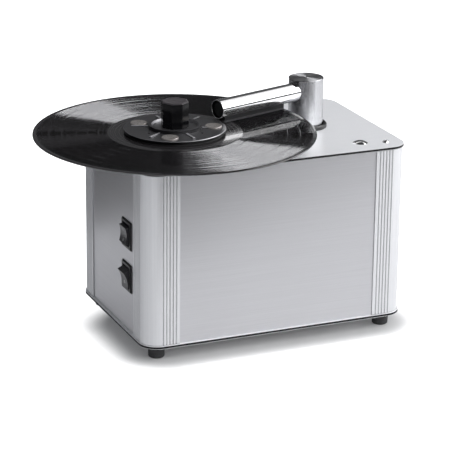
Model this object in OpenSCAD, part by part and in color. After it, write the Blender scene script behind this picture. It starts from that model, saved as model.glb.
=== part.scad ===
// Record cleaning machine with a suction arm, for 12 inch records.
// X runs along the long front face, the front faces -Y and Z is up.
// The origin is the centre of the casing's footprint, on the surface that the feet stand on.

/* [Casing] */
// Width of the casing over its corner profiles
case_w = 306; // [300:1:340]
// Depth of the casing over its corner profiles
case_d = 205; // [202:1:240]
// Height of the profiles and panels between the two plates
panel_h = 190; // [186:1:230]
// Thickness of the bottom and top plates
plate_t = 3; // [2:0.5:4]
// How far the plates stand out past the profiles
plate_over = 1.5; // [0.5:0.5:4]
// Outer radius of the corner profiles
corner_r = 20; // [14:1:22]
// Length of each flange of a corner profile, from the outer corner
flange_len = 38.5; // [37:0.5:45]
// Wall of the corner profiles
profile_wall = 2.2; // [1.8:0.1:3]
// Thickness of the four panels
panel_t = 2; // [1.5:0.5:3]
// How far the panels sit behind the profiles' faces
panel_inset = 1.2; // [0.8:0.1:2]
// How deep a panel's edge goes into its slot
slot_depth = 6; // [4:0.5:8]
// Inner lip of a panel slot
lip_t = 1.6; // [1:0.2:3]
// Radius of the long grooves in the flanges
groove_r = 0.75; // [0.4:0.05:0.9]
// Distance between neighbouring grooves
groove_pitch = 3.7; // [3:0.1:3.8]
// Number of grooves in each flange
groove_count = 5; // [1:1:5]
// Distance of the first groove from the outer corner
groove_start = 19.5; // [18:0.5:20]

/* [Feet and corner screws] */
// Height of the rubber feet
foot_h = 15; // [10:1:25]
// Diameter of a foot at the casing
foot_d = 19; // [16:0.5:24]
// Diameter of a foot at the floor
foot_tip_d = 17.6; // [14:0.2:22]
// Distance of the feet and corner screws from the casing's outer faces
corner_screw_in = 18.8; // [17:0.2:22]
// Diameter of the corner screws' shanks
screw_d = 4; // [3:0.5:5]
// Length of the corner screws' shanks
screw_len = 22; // [16:1:40]
// Diameter of the corner screws' domed heads
screw_head_d = 7.6; // [7:0.2:9]
// Height of the corner screws' domed heads
screw_head_h = 2.3; // [1.5:0.1:3]
// Wall round the screw channel of a corner profile
channel_wall = 2.4; // [1.5:0.1:3]

/* [Deck fittings] */
// Diameter of the chrome blanking cap
cap_d = 16.3; // [12:0.1:20]
// Height of the cap's dome
cap_h = 2.6; // [1.5:0.1:4]
// Distance of the cap from the casing's right face
cap_from_right = 46; // [40:1:60]
// Distance of the cap from the casing's front face
cap_from_front = 26.5; // [22:0.5:40]
// Distance of the spindle from the casing's left face
spindle_from_left = 53.4; // [52:0.2:60]
// Distance of the spindle from the casing's front face
spindle_from_front = 53.3; // [50:0.1:60]
// Gap between the record's rim and the arm post
post_gap = 15.8; // [14:0.1:18]
// Direction of the arm post from the spindle
post_angle = 16.95; // [14:0.05:20]

/* [Record and platter] */
// Diameter of the record
record_d = 301.6; // [250:0.1:302]
// Thickness of the record at its rim and label
record_t = 1.8; // [1.4:0.1:2.5]
// Depth of the grooved band under the rim and label, on each face
groove_band_deep = 0.25; // [0.1:0.05:0.4]
// Width of the smooth rim
record_rim_w = 3; // [1:0.5:6]
// Diameter of the record's label and smooth centre
record_label_d = 100; // [98:1:110]
// Diameter of the record's centre hole
record_hole_d = 7.24; // [7.2:0.01:7.3]
// Height of the record's top face above the top plate
record_rise = 27; // [24:0.5:40]
// How far the clamp's disc stands out past the platter
platter_in = 1.35; // [1:0.05:4]
// Thickness of the platter
platter_t = 7; // [4:0.5:10]
// Diameter of the platter's hub
hub_d = 30; // [24:1:40]
// Thickness of the rubber mat on the platter
mat_t = 1; // [0.5:0.1:2]
// Diameter of the spindle's shaft
shaft_d = 10; // [8:0.5:12]
// Diameter of the spindle's threaded tip
tip_d = 7.14; // [7.1:0.01:7.16]
// Height of the spindle's tip above the record
tip_rise = 24; // [16:0.5:28]

/* [Record clamp] */
// Diameter of the clamp's disc
clamp_d = 108.7; // [104:0.1:110]
// Thickness of the clamp's disc
clamp_t = 3.5; // [3:0.1:5]
// Thickness of the rubber seal under the disc
seal_t = 1.5; // [1:0.1:3]
// How far the disc stands out past its seal
seal_in = 1.6; // [1:0.1:4]
// Diameter of the raised ring in the middle of the disc
ring_d = 56; // [50:1:60]
// Height of the raised ring above the disc
ring_h = 3.7; // [2:0.1:6]
// Width of the raised ring's rim
ring_w = 2.6; // [1.5:0.1:5]
// Thickness of the floor inside the ring, above the disc's top face
dish_h = 1.2; // [0.5:0.1:1.6]
// Diameter of the round pads set into the disc
pad_d = 18; // [12:0.5:20]
// Thickness of the pads
pad_t = 3.2; // [2:0.1:4]
// How deep the pads are let into the disc
pad_sink = 1.8; // [1:0.1:2.4]
// Distance of the pads' middles from the disc's edge
pad_in = 13.3; // [11:0.1:14]
// Distance across the corners of the eight-sided knob
knob_d = 30.2; // [26:0.2:40]
// Height of the knob above the floor of the dish
knob_h = 27.8; // [26:0.2:40]
// Chamfer round the knob's top
knob_chamfer = 1.2; // [0.5:0.1:2.5]
// Diameter of the collet that the knob turns on
collet_d = 12; // [11:0.5:14]
// Diameter of the collet's flange under the disc
collet_flange_d = 18; // [16:0.5:22]
// Thickness of the collet's flange
collet_flange_t = 1.4; // [1:0.1:2]
// How far the clamp lifts off the spindle
clamp_lift = 45; // [30:1:60]

/* [Suction arm] */
// Diameter of the arm's post
post_d = 39; // [38:0.5:44]
// Height of the post's top above the top plate
post_rise = 56.3; // [55:0.1:70]
// Outer diameter of the arm's tube
tube_d = 20.8; // [20:0.1:22]
// Wall of the arm's tube
tube_wall = 1; // [0.8:0.1:1.5]
// Gap between the clamp's disc and the tube's open end
tube_end_gap = 2.4; // [2:0.1:6]
// Direction of the tube from the post
tube_angle = -162.2; // [-164:0.1:-160]
// Gap between the tube's underside and the record
tube_gap = 4.6; // [4.4:0.1:6]
// Thickness of the plug in the tube's end
plug_t = 3; // [2:0.5:4]
// How deep the plug sits behind the tube's end
plug_sink = 3.3; // [1:0.1:5]
// Width of the suction slot
slot_w = 3; // [2:0.1:3.5]
// Width of the strip holder under the tube
holder_w = 12.5; // [12:0.1:14]
// Width of each velvet strip
strip_w = 4.2; // [3:0.1:4.4]
// Thickness of the velvet strips
strip_t = 2; // [1:0.1:2.4]
// Gap between the lowered strips and the record
strip_gap = 0.4; // [0.3:0.1:0.8]
// How far the slot stays clear of the record's rim and of the plug
slot_margin = 5; // [4:0.5:8]
// Outer diameter of the riser pipe
riser_d = 30; // [28:0.5:31]
// Bore of the riser pipe
riser_bore = 25; // [22:0.5:26]
// Thickness of the nut under the deck
nut_t = 6; // [4:0.5:8]
// Distance from the riser bush to the nut's corners
nut_wall = 7; // [5:0.5:9]
// How far the arm lifts
arm_lift = 15; // [8:1:18]
// Outer diameter of the collar round the post's foot
collar_d = 48; // [47:0.5:54]
// Height of the collar
collar_h = 4.5; // [3:0.1:6]
// Gap between the post and the collar
collar_gap = 1.1; // [0.8:0.1:1.6]
// Diameter of the riser bush below the top plate
bush_d = 36; // [35:0.5:38]
// Length of the riser bush below the deck's top face
bush_len = 27; // [22:1:30]
// Thickness of the bush's flange on the deck
bush_flange_t = 1.5; // [1:0.1:2.5]

/* [Waste tank] */
// Gap between the blower and the waste tank
tank_left_gap = 12.4; // [5:0.1:14]
// Gap between the waste tank and the lips of the right profiles
tank_right_gap = 9.5; // [5:0.1:12]
// Gap between the waste tank and the screw channels, front and back
tank_end_gap = 4.2; // [3:0.1:8]
// Height of the waste tank
tank_h = 92; // [80:1:94]
// Wall of the waste tank
tank_wall = 2.5; // [2:0.1:4]
// Radius of the tank's upright corners
tank_r = 10; // [6:1:16]
// Thickness of the lid's gasket
gasket_t = 2; // [1:0.5:3]
// Thickness of the tank's lid
lid_t = 4; // [3:0.5:6]
// Wall of the lid's two necks
neck_wall = 3; // [2.5:0.1:4]
// Outer diameter of the hose necks
neck_d = 31.8; // [28:0.2:34]
// Height of the hose necks
neck_h = 16; // [12:1:20]
// Wall of the suction hose
hose_wall = 2; // [1.5:0.1:3]
// Distance of the hose neck from the tank's left side
outlet_in = 22; // [20:1:30]
// Distance of the hose neck from the tank's back
outlet_from_back = 25; // [22:1:28]
// Distance of the drain spigot from the tank's right side
drain_in = 35; // [30:1:50]
// Outer diameter of the drain spigot's free end
spigot_d = 12; // [10:0.5:14]
// How much wider the drain spigot is inside the casing
spigot_step = 2; // [1:0.5:4]
// Bore of the drain spigot
spigot_bore = 8; // [6:0.5:8]
// Length of the drain spigot's free end, behind the plates
spigot_out = 18; // [14:1:25]
// Length of the drain plug inside the spigot
plug_len = 12; // [8:1:20]

/* [Blower] */
// Distance of the blower's axis from the casing's left face
blower_from_left = 111; // [108:1:113]
// Distance of the blower's axis behind the casing's centre line
blower_back = 38; // [36:1:40]
// Diameter of the blower's housing
blower_d = 96; // [88:1:98]
// Wall of the blower's housing
blower_wall = 3; // [2:0.5:4]
// Height of the space that the fan turns in
fan_space = 22; // [20:1:24]
// Diameter of the fan
fan_d = 80; // [60:1:82]
// Number of blades on the fan
fan_blades = 9; // [5:1:13]
// Diameter of the blower's motor
blower_motor_d = 62; // [50:1:70]
// Height of the blower's motor
blower_motor_h = 50; // [40:1:52]
// Height of the blower's rubber mounts
mount_h = 10; // [6:1:12]

/* [Platter drive] */
// Length of the gearbox
gearbox_w = 74; // [70:1:80]
// Depth of the gearbox, from front to back
gearbox_d = 50; // [44:1:56]
// Height of the gearbox
gearbox_h = 24; // [20:1:28]
// Diameter of the drive motor
drive_d = 40; // [30:1:46]
// Height of the drive motor
drive_h = 62; // [40:1:70]
// Diameter of the gearbox's output shaft
output_d = 8; // [6:0.5:9]
// Thickness of the bracket under the deck
bracket_t = 3; // [2:0.5:4]
// Height of the pillars that hold the bracket
pillar_h = 31; // [30:1:36]
// Diameter of the pillars
pillar_d = 9; // [8:0.5:11]

/* [Switches] */
// Height of a switch's bezel
bezel_h = 31.5; // [30:0.5:34]
// Width of a switch's bezel
bezel_w = 27; // [26:0.5:30]
// Thickness of a switch's bezel
bezel_t = 2; // [1.5:0.1:3]
// Height of a rocker's opening
rocker_open_h = 25; // [24:0.5:26]
// Width of a rocker's opening
rocker_open_w = 20; // [18:0.5:21]
// How far a rocker tilts from its middle position
rocker_tilt = 14; // [8:1:14]
// Distance of the switches from the casing's front face
switch_from_front = 59; // [58:0.5:66]
// Height of the upper switch's middle above the casing's bottom
upper_switch_z = 113; // [100:0.5:116]
// Distance between the switches' middles
switch_pitch = 48.3; // [44:0.1:56]
// Depth of a switch's body behind the panel
switch_depth = 21; // [18:1:24]

/* [Back panel fittings] */
// Distance of the mains inlet from the casing's left face
inlet_from_left = 68; // [66:1:74]
// Height of the mains inlet's middle above the casing's bottom
inlet_z = 40; // [36:1:44]
// How far the fuse drawer slides out
drawer_travel = 16; // [10:1:18]

/* [Control board] */
// Width of the control board
board_w = 46; // [40:1:50]
// Depth of the control board, from front to back
board_d = 66; // [60:1:70]
// Thickness of the control board
board_t = 1.6; // [1:0.1:2.4]
// Height of the board's posts
board_post_h = 8; // [6:1:12]
// Diameter of the board's posts
board_post_d = 6; // [4:0.5:7]
// Distance of the board's middle from the casing's left face
board_from_left = 34; // [32:1:38]
// Distance of the board's middle from the casing's back face
board_from_back = 70; // [68:1:74]
// Depth of the power supply block
supply_d = 28; // [20:1:30]
// Height of the power supply block
supply_h = 26; // [20:1:30]
// Width of a relay
relay_w = 15; // [12:1:16]
// Depth of a relay
relay_d = 12; // [10:1:14]
// Height of a relay
relay_h = 15; // [12:1:18]
// Diameter of the capacitors
capacitor_d = 8; // [6:0.5:9]
// Height of the capacitors
capacitor_h = 14; // [10:1:18]
// Number of capacitors
capacitor_count = 3; // [2:1:3]

/* [Hidden] */

$fn = 96;
// Cut-outs reach this far past the faces that they cut
eps = 1;
// Radial clearance of turning and sliding fits
run_fit = 0.05;
// Radial clearance of screws and pushed-in pieces
push_fit = 0.1;
// Gap left between pieces that pass each other
pass_gap = 0.3;

// Levels, from the floor up
z_case = foot_h;
z_inside = z_case + plate_t;
z_under_deck = z_inside + panel_h;
z_deck = z_under_deck + plate_t;
z_record = z_deck + record_rise;
z_mat = z_record - record_t;
z_platter = z_mat - mat_t;
z_disc = z_record + seal_t;
z_disc_top = z_disc + clamp_t;
z_dish = z_disc_top + dish_h;
z_post_top = z_deck + post_rise;
z_tube = z_record + tube_gap + tube_d / 2;
z_lid = z_inside + tank_h + gasket_t;
z_lid_top = z_lid + lid_t;

// Places, from the casing's faces
spindle_x = -case_w / 2 + spindle_from_left;
spindle_y = -case_d / 2 + spindle_from_front;
post_reach = record_d / 2 + post_gap + post_d / 2;
post_x = spindle_x + post_reach * cos(post_angle);
post_y = spindle_y + post_reach * sin(post_angle);
blower_x = -case_w / 2 + blower_from_left;
blower_y = blower_back;
channel_x = case_w / 2 - corner_screw_in;
channel_y = case_d / 2 - corner_screw_in;
cap_x = case_w / 2 - cap_from_right;
cap_y = -case_d / 2 + cap_from_front;
switch_y = -case_d / 2 + switch_from_front;
inlet_x = -case_w / 2 + inlet_from_left;

// A round-cornered rectangle about the origin, with true arcs
module round_rect(w, d, r) {
    square([w - 2 * r, d], center = true);
    square([w, d - 2 * r], center = true);
    for (sx = [-1, 1], sy = [-1, 1])
        translate([sx * (w / 2 - r), sy * (d / 2 - r)])
            circle(r);
}

module ring(outer_d, inner_d, h) {
    difference() {
        cylinder(d = outer_d, h = h);
        translate([0, 0, -eps])
            cylinder(d = inner_d, h = h + 2 * eps);
    }
}

module at_corners() {
    for (sx = [-1, 1], sy = [-1, 1])
        translate([sx * channel_x, sy * channel_y, 0])
            children();
}

module at_spindle() {
    translate([spindle_x, spindle_y, 0])
        children();
}

module at_post() {
    translate([post_x, post_y, 0])
        children();
}

module at_blower() {
    translate([blower_x, blower_y, 0])
        children();
}

// Plates
plate_w = case_w + 2 * plate_over;
plate_d = case_d + 2 * plate_over;
screw_hole_d = screw_d + 2 * push_fit;

module plate_blank() {
    difference() {
        linear_extrude(plate_t)
            round_rect(plate_w, plate_d, corner_r + plate_over);
        at_corners()
            translate([0, 0, -eps])
                cylinder(d = screw_hole_d, h = plate_t + 2 * eps);
    }
}

// Slots under the blower let cooling air in
vent_count = 5;
vent_pitch = 8;
vent_len = 40;
vent_w = 3;

module bottom_plate() {
    color("silver")
        translate([0, 0, z_case])
            difference() {
                plate_blank();
                for (i = [0 : vent_count - 1])
                    translate([blower_x + (i - (vent_count - 1) / 2) * vent_pitch, blower_y, -eps])
                        linear_extrude(plate_t + 2 * eps)
                            round_rect(vent_w, vent_len, vent_w / 2 - 0.01);
            }
}

spindle_bush_d = shaft_d + 8;
cap_lip = 2;
cap_stem_d = cap_d - 2 * cap_lip;
cap_stem_below = 3;

module top_plate() {
    color("gainsboro")
        difference() {
            translate([0, 0, z_under_deck])
                plate_blank();
            at_spindle()
                deck_hole(spindle_bush_d + 2 * push_fit);
            at_post()
                deck_hole(bush_d + 2 * push_fit);
            translate([cap_x, cap_y, 0])
                deck_hole(cap_stem_d + 2 * push_fit);
            at_pillars()
                translate([0, 0, z_under_deck - eps])
                    cylinder(d = screw_hole_d, h = plate_t + 2 * eps);
            at_pillars()
                pillar_screw_head(push_fit);
        }
}

module deck_hole(d) {
    translate([0, 0, z_under_deck - eps])
        cylinder(d = d, h = plate_t + 2 * eps);
}

// Corner profiles, drawn with the outer corner at the origin
channel_d = screw_hole_d + 2 * channel_wall;
slot_t = panel_t + pass_gap;
lip_in = panel_inset + slot_t + lip_t;
lip_len = slot_depth + lip_t;

module profile_flange() {
    difference() {
        union() {
            translate([corner_r, 0])
                square([flange_len - corner_r, profile_wall]);
            translate([flange_len - lip_len, 0])
                square([lip_len, lip_in]);
        }
        translate([flange_len - slot_depth - pass_gap, panel_inset])
            square([slot_depth + pass_gap + eps, slot_t]);
        for (i = [0 : groove_count - 1])
            translate([groove_start + i * groove_pitch, 0])
                circle(groove_r, $fn = 20);
    }
}

module profile_corner() {
    difference() {
        intersection() {
            translate([corner_r, corner_r])
                circle(corner_r);
            square(corner_r);
        }
        translate([corner_r, corner_r])
            circle(corner_r - profile_wall);
        for (i = [0 : groove_count - 1]) {
            translate([groove_start + i * groove_pitch, 0])
                circle(groove_r, $fn = 20);
            translate([0, groove_start + i * groove_pitch])
                circle(groove_r, $fn = 20);
        }
    }
}

// A web runs from the screw channel to the middle of the rounded corner
web_t = 2;
web_from = corner_r - (corner_r - profile_wall / 2) / sqrt(2);

module profile_section() {
    difference() {
        union() {
            profile_corner();
            profile_flange();
            mirror([1, -1])
                profile_flange();
            translate([corner_screw_in, corner_screw_in])
                circle(d = channel_d);
            translate([web_from, web_from])
                rotate(45)
                    translate([0, -web_t / 2])
                        square([(corner_screw_in - web_from) * sqrt(2), web_t]);
        }
        translate([corner_screw_in, corner_screw_in])
            circle(d = screw_hole_d);
    }
}

module profile_at(side_x, side_y) {
    color("lightgray")
        translate([side_x * case_w / 2, side_y * case_d / 2, z_inside])
            mirror([side_x > 0 ? 1 : 0, 0, 0])
                mirror([0, side_y > 0 ? 1 : 0, 0])
                    linear_extrude(panel_h)
                        profile_section();
}

// Panels stand in the profiles' slots
panel_edge = flange_len - slot_depth;
front_w = case_w - 2 * panel_edge;
side_w = case_d - 2 * panel_edge;

module panel_front_blank(side_y) {
    outer = side_y * (case_d / 2 - panel_inset);
    inner = side_y * (case_d / 2 - panel_inset - panel_t);
    translate([-front_w / 2, min(outer, inner), z_inside])
        cube([front_w, panel_t, panel_h]);
}

module panel_side_blank(side_x) {
    outer = side_x * (case_w / 2 - panel_inset);
    inner = side_x * (case_w / 2 - panel_inset - panel_t);
    translate([min(outer, inner), -side_w / 2, z_inside])
        cube([panel_t, side_w, panel_h]);
}

module front_panel() {
    color("darkgray")
        panel_front_blank(-1);
}

module right_panel() {
    color("darkgray")
        panel_side_blank(1);
}

module left_panel() {
    color("gray")
        difference() {
            panel_side_blank(-1);
            for (z = switch_levels)
                translate([-case_w / 2 - eps, switch_y - switch_body_w / 2 - push_fit,
                           z - switch_body_h / 2 - push_fit])
                    cube([panel_t + panel_inset + 2 * eps, switch_body_w + 2 * push_fit,
                          switch_body_h + 2 * push_fit]);
        }
}

// The back panel carries the mains inlet, the exhaust slots and the drain
back_face = case_d / 2 - panel_inset;
back_inner = back_face - panel_t;
exhaust_slots = 6;
exhaust_pitch = 5;
exhaust_w = 3;

module back_panel() {
    color("darkgray")
        difference() {
            panel_front_blank(1);
            translate([inlet_x - inlet_body_w / 2 - push_fit, back_inner - eps,
                       z_inlet - inlet_body_h / 2 - push_fit])
                cube([inlet_body_w + 2 * push_fit, panel_t + 2 * eps, inlet_body_h + 2 * push_fit]);
            for (i = [0 : exhaust_slots - 1])
                translate([duct_x + (i - (exhaust_slots - 1) / 2) * exhaust_pitch - exhaust_w / 2,
                           back_inner - eps, z_fan_floor + blower_wall])
                    cube([exhaust_w, panel_t + 2 * eps, fan_space - 2 * blower_wall]);
            translate([drain_x, back_inner - eps, z_drain])
                rotate([-90, 0, 0])
                    cylinder(d = spigot_root_d + 2 * pass_gap, h = panel_t + 2 * eps);
        }
}

// Feet and corner screws
foot_chamfer = 0.6;
foot_recess = screw_head_h + 3;
foot_recess_d = screw_head_d + 1.5;

module feet() {
    color("black")
        at_corners()
            difference() {
                rotate_extrude()
                    polygon([[0, 0], [foot_tip_d / 2 - foot_chamfer, 0], [foot_tip_d / 2, foot_chamfer],
                             [foot_d / 2, foot_h], [0, foot_h]]);
                translate([0, 0, -eps])
                    cylinder(d = screw_hole_d, h = foot_h + 2 * eps);
                translate([0, 0, -eps])
                    cylinder(d = foot_recess_d, h = foot_recess + eps);
            }
}

module dome(d, h) {
    ball_r = (d * d / 4 + h * h) / (2 * h);
    intersection() {
        translate([0, 0, h - ball_r])
            sphere(ball_r);
        cylinder(d = d + eps, h = h + eps);
    }
}

socket_d = 2.5;
socket_deep = 1.2;

module dome_screw() {
    difference() {
        dome(screw_head_d, screw_head_h);
        translate([0, 0, screw_head_h - socket_deep])
            cylinder(d = socket_d, h = socket_deep + eps, $fn = 6);
    }
    translate([0, 0, -screw_len])
        cylinder(d = screw_d, h = screw_len + 0.01);
}

module corner_screws() {
    color("silver")
        at_corners() {
            translate([0, 0, z_deck])
                dome_screw();
            translate([0, 0, foot_recess])
                rotate([180, 0, 0])
                    dome_screw();
        }
}

module blanking_cap() {
    color("silver")
        translate([cap_x, cap_y, z_deck]) {
            dome(cap_d, cap_h);
            translate([0, 0, -plate_t - cap_stem_below])
                cylinder(d = cap_stem_d, h = plate_t + cap_stem_below + 0.01);
        }
}

// Platter drive, from the deck down
bush_flange_h = 2.5;
bush_below = 10;
z_spindle_bush = z_under_deck - bush_below;
z_bracket = z_under_deck - pillar_h - bracket_t;
z_gearbox = z_bracket - gearbox_h;
output_in = 22;
gearbox_x = spindle_x + gearbox_w / 2 - output_in;
drive_x = gearbox_x + gearbox_w / 2 - drive_d / 2;
output_top = z_bracket + 9;
spindle_foot = output_top + 3;
coupling_z = z_bracket + bracket_t + 1;
coupling_top = z_spindle_bush - 1.5;
coupling_d = shaft_d + 10;
pillar_in = pillar_d / 2 + 1;
bracket_w = gearbox_w + 16;
bracket_d = gearbox_d + 14;
gearbox_r = 8;
drive_boss_h = 4;
// The output shaft's foot and the bottom of its bore, above the gearbox's underside
output_foot = 7;
output_bore_foot = 6;

module spindle_bush() {
    color("goldenrod")
        at_spindle()
            difference() {
                union() {
                    translate([0, 0, z_deck])
                        cylinder(d = spindle_bush_d + 8, h = bush_flange_h);
                    translate([0, 0, z_spindle_bush])
                        cylinder(d = spindle_bush_d, h = bush_below + plate_t + 0.01);
                }
                translate([0, 0, z_spindle_bush - eps])
                    cylinder(d = shaft_d + 2 * run_fit, h = bush_below + plate_t + bush_flange_h + 2 * eps);
            }
}

module at_pillars() {
    for (sx = [-1, 1], sy = [-1, 1])
        translate([gearbox_x + sx * (bracket_w / 2 - pillar_in),
                   spindle_y + sy * (bracket_d / 2 - pillar_in), 0])
            children();
}

module motor_bracket() {
    color("lightsteelblue")
        difference() {
            translate([gearbox_x, spindle_y, z_bracket])
                linear_extrude(bracket_t)
                    round_rect(bracket_w, bracket_d, pillar_in);
            at_spindle()
                translate([0, 0, z_bracket - eps])
                    cylinder(d = coupling_d + 4, h = bracket_t + 2 * eps);
        }
}

module bracket_pillars() {
    color("silver")
        at_pillars()
            difference() {
                translate([0, 0, z_bracket + bracket_t])
                    cylinder(d = pillar_d, h = pillar_h, $fn = 6);
                translate([0, 0, z_under_deck - pillar_screw_len - 1])
                    cylinder(d = screw_hole_d, h = pillar_screw_len + 1 + eps);
            }
}

pillar_screw_len = 10;
csk_d = 8;

module pillar_screw_head(gap) {
    translate([0, 0, z_deck - (csk_d - screw_d) / 2 - gap])
        cylinder(d1 = screw_d, d2 = csk_d + 2 * gap, h = (csk_d - screw_d) / 2 + gap + 0.001);
}

module pillar_screws() {
    color("silver")
        at_pillars() {
            pillar_screw_head(0);
            translate([0, 0, z_under_deck - pillar_screw_len])
                cylinder(d = screw_d, h = pillar_screw_len + plate_t - 0.5);
        }
}

module gear_motor() {
    color("dimgray")
        difference() {
            union() {
                translate([gearbox_x, spindle_y, z_gearbox])
                    linear_extrude(gearbox_h)
                        round_rect(gearbox_w, gearbox_d, gearbox_r);
                translate([drive_x, spindle_y, z_gearbox - drive_h])
                    cylinder(d = drive_d, h = drive_h + 0.01);
                translate([drive_x, spindle_y, z_gearbox - drive_h - drive_boss_h])
                    cylinder(d = drive_d / 3, h = drive_boss_h + 0.01);
            }
            at_spindle()
                translate([0, 0, z_gearbox + output_bore_foot])
                    cylinder(d = output_d + 2 * run_fit, h = gearbox_h);
        }
}

module output_shaft() {
    color("silver")
        at_spindle()
            translate([0, 0, z_gearbox + output_foot])
                cylinder(d = output_d, h = output_top - z_gearbox - output_foot);
}

module coupling() {
    color("darkslategray")
        at_spindle()
            difference() {
                translate([0, 0, coupling_z])
                    cylinder(d = coupling_d, h = coupling_top - coupling_z);
                translate([0, 0, coupling_z - eps])
                    cylinder(d = output_d + 2 * run_fit, h = output_top - coupling_z + eps + 0.5);
                translate([0, 0, spindle_foot - 0.5])
                    cylinder(d = shaft_d + 2 * run_fit, h = coupling_top - spindle_foot + 0.5 + eps);
            }
}

// The shaft ends in a shoulder inside the platter, and the tip goes on through the record
spindle_shoulder = z_platter - 2;

module spindle() {
    color("silver")
        at_spindle() {
            translate([0, 0, spindle_foot])
                cylinder(d = shaft_d, h = spindle_shoulder - spindle_foot);
            translate([0, 0, spindle_shoulder - 0.01])
                cylinder(d = tip_d, h = z_record + tip_rise - spindle_shoulder - 1);
            translate([0, 0, z_record + tip_rise - 1.02])
                cylinder(d1 = tip_d, d2 = tip_d - 2, h = 1);
        }
}

platter_d = clamp_d - 2 * platter_in;
hub_foot = z_deck + bush_flange_h + 1;
// The mat stays this far inside the platter's rim and outside the tip
mat_in = 1;

module platter() {
    color("dimgray")
        at_spindle()
            difference() {
                union() {
                    translate([0, 0, z_platter - platter_t])
                        cylinder(d = platter_d, h = platter_t);
                    translate([0, 0, hub_foot])
                        cylinder(d = hub_d, h = z_platter - hub_foot);
                }
                translate([0, 0, hub_foot - eps])
                    cylinder(d = shaft_d + 2 * run_fit, h = spindle_shoulder - hub_foot + eps);
                translate([0, 0, hub_foot])
                    cylinder(d = tip_d + 2 * run_fit, h = z_mat);
            }
}

module platter_mat() {
    color("black")
        at_spindle()
            translate([0, 0, z_platter])
                ring(platter_d - 2 * mat_in, tip_d + 2 * mat_in, mat_t);
}

module record() {
    r = record_d / 2;
    band = groove_band_deep;
    edge = 0.5;
    color([0.05, 0.05, 0.06])
        at_spindle()
            translate([0, 0, z_mat])
                rotate_extrude($fn = 180)
                    polygon([
                        [record_hole_d / 2, 0],
                        [record_label_d / 2, 0],
                        [record_label_d / 2 + 1, band],
                        [r - record_rim_w - 1, band],
                        [r - record_rim_w, 0],
                        [r - edge, 0],
                        [r, edge],
                        [r, record_t - edge],
                        [r - edge, record_t],
                        [r - record_rim_w, record_t],
                        [r - record_rim_w - 1, record_t - band],
                        [record_label_d / 2 + 1, record_t - band],
                        [record_label_d / 2, record_t],
                        [record_hole_d / 2, record_t]
                    ]);
}

// Record clamp
pad_angles = [-118.8, -17.5, 138.5];
pad_r = clamp_d / 2 - pad_in;
rib_count = 6;
rib_w = 2.4;
rib_h = 0.9;
rib_start_angle = -86;
rib_in = 8;
clamp_edge = 0.6;
dish_slope = 1.5;
// Blind holes beside each pad: one outside the ring and one in the dish
clamp_hole_r = 1.3;
disc_hole_out = 8;
disc_hole_turn = 60;
dish_hole_in = 4.5;
dish_hole_turn = 48;

module clamp_seal() {
    color("black")
        at_spindle()
            translate([0, 0, z_record])
                ring(clamp_d - 2 * seal_in, collet_flange_d + 8, seal_t);
}

module clamp_disc() {
    color([0.16, 0.16, 0.17])
        at_spindle()
            difference() {
                union() {
                    translate([0, 0, z_disc])
                        cylinder(d = clamp_d, h = clamp_t - clamp_edge);
                    translate([0, 0, z_disc_top - clamp_edge - 0.01])
                        cylinder(d1 = clamp_d, d2 = clamp_d - 2 * clamp_edge, h = clamp_edge + 0.01);
                    translate([0, 0, z_disc_top - 0.01])
                        cylinder(d1 = ring_d + 1, d2 = ring_d, h = ring_h + 0.01);
                    clamp_ribs();
                }
                translate([0, 0, z_dish])
                    cylinder(d1 = ring_d - 2 * ring_w - 2 * dish_slope, d2 = ring_d - 2 * ring_w,
                             h = ring_h);
                translate([0, 0, z_disc - eps])
                    cylinder(d = collet_d + 2 * run_fit, h = clamp_t + ring_h);
                translate([0, 0, z_disc - eps])
                    cylinder(d = collet_flange_d + 2 * run_fit, h = collet_flange_t + eps + run_fit);
                for (a = pad_angles) {
                    rotate(a)
                        translate([pad_r, 0, z_disc_top - pad_sink])
                            cylinder(d = pad_d + 2 * push_fit, h = clamp_t);
                    rotate(a + disc_hole_turn)
                        translate([ring_d / 2 + disc_hole_out, 0, z_disc + 1])
                            cylinder(r = clamp_hole_r, h = clamp_t);
                    rotate(a + dish_hole_turn)
                        translate([ring_d / 2 - ring_w - dish_hole_in, 0, z_disc + 1])
                            cylinder(r = clamp_hole_r, h = clamp_t + ring_h);
                }
            }
}

module clamp_ribs() {
    rib_from = ring_d / 2 - 1;
    rib_to = clamp_d / 2 - rib_in;
    for (i = [0 : rib_count - 1])
        rotate(rib_start_angle + i * 360 / rib_count)
            translate([rib_from, -rib_w / 2, z_disc_top - 0.01])
                cube([rib_to - rib_from, rib_w, rib_h + 0.01]);
}

module clamp_pads() {
    color("rosybrown")
        at_spindle()
            for (a = pad_angles)
                rotate(a)
                    translate([pad_r, 0, z_disc_top - pad_sink]) {
                        cylinder(d = pad_d, h = pad_t - 0.5);
                        translate([0, 0, pad_t - 0.51])
                            cylinder(d1 = pad_d, d2 = pad_d - 1, h = 0.51);
                    }
}

// One corner of the knob points this way from the clamp's axis
knob_turn = 100;
knob_sides = 8;

module clamp_knob() {
    color("black")
        at_spindle()
            difference() {
                rotate(knob_turn) {
                    translate([0, 0, z_dish + push_fit])
                        cylinder(d = knob_d, h = knob_h - knob_chamfer, $fn = knob_sides);
                    translate([0, 0, z_dish + push_fit + knob_h - knob_chamfer - 0.01])
                        cylinder(d1 = knob_d, d2 = knob_d - 2 * knob_chamfer, h = knob_chamfer + 0.01,
                                 $fn = knob_sides);
                }
                translate([0, 0, z_dish - eps])
                    cylinder(d = collet_d + 2 * push_fit, h = collet_len - clamp_t - dish_h + eps + push_fit);
            }
}

collet_len = tip_rise + 3 - seal_t;

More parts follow.
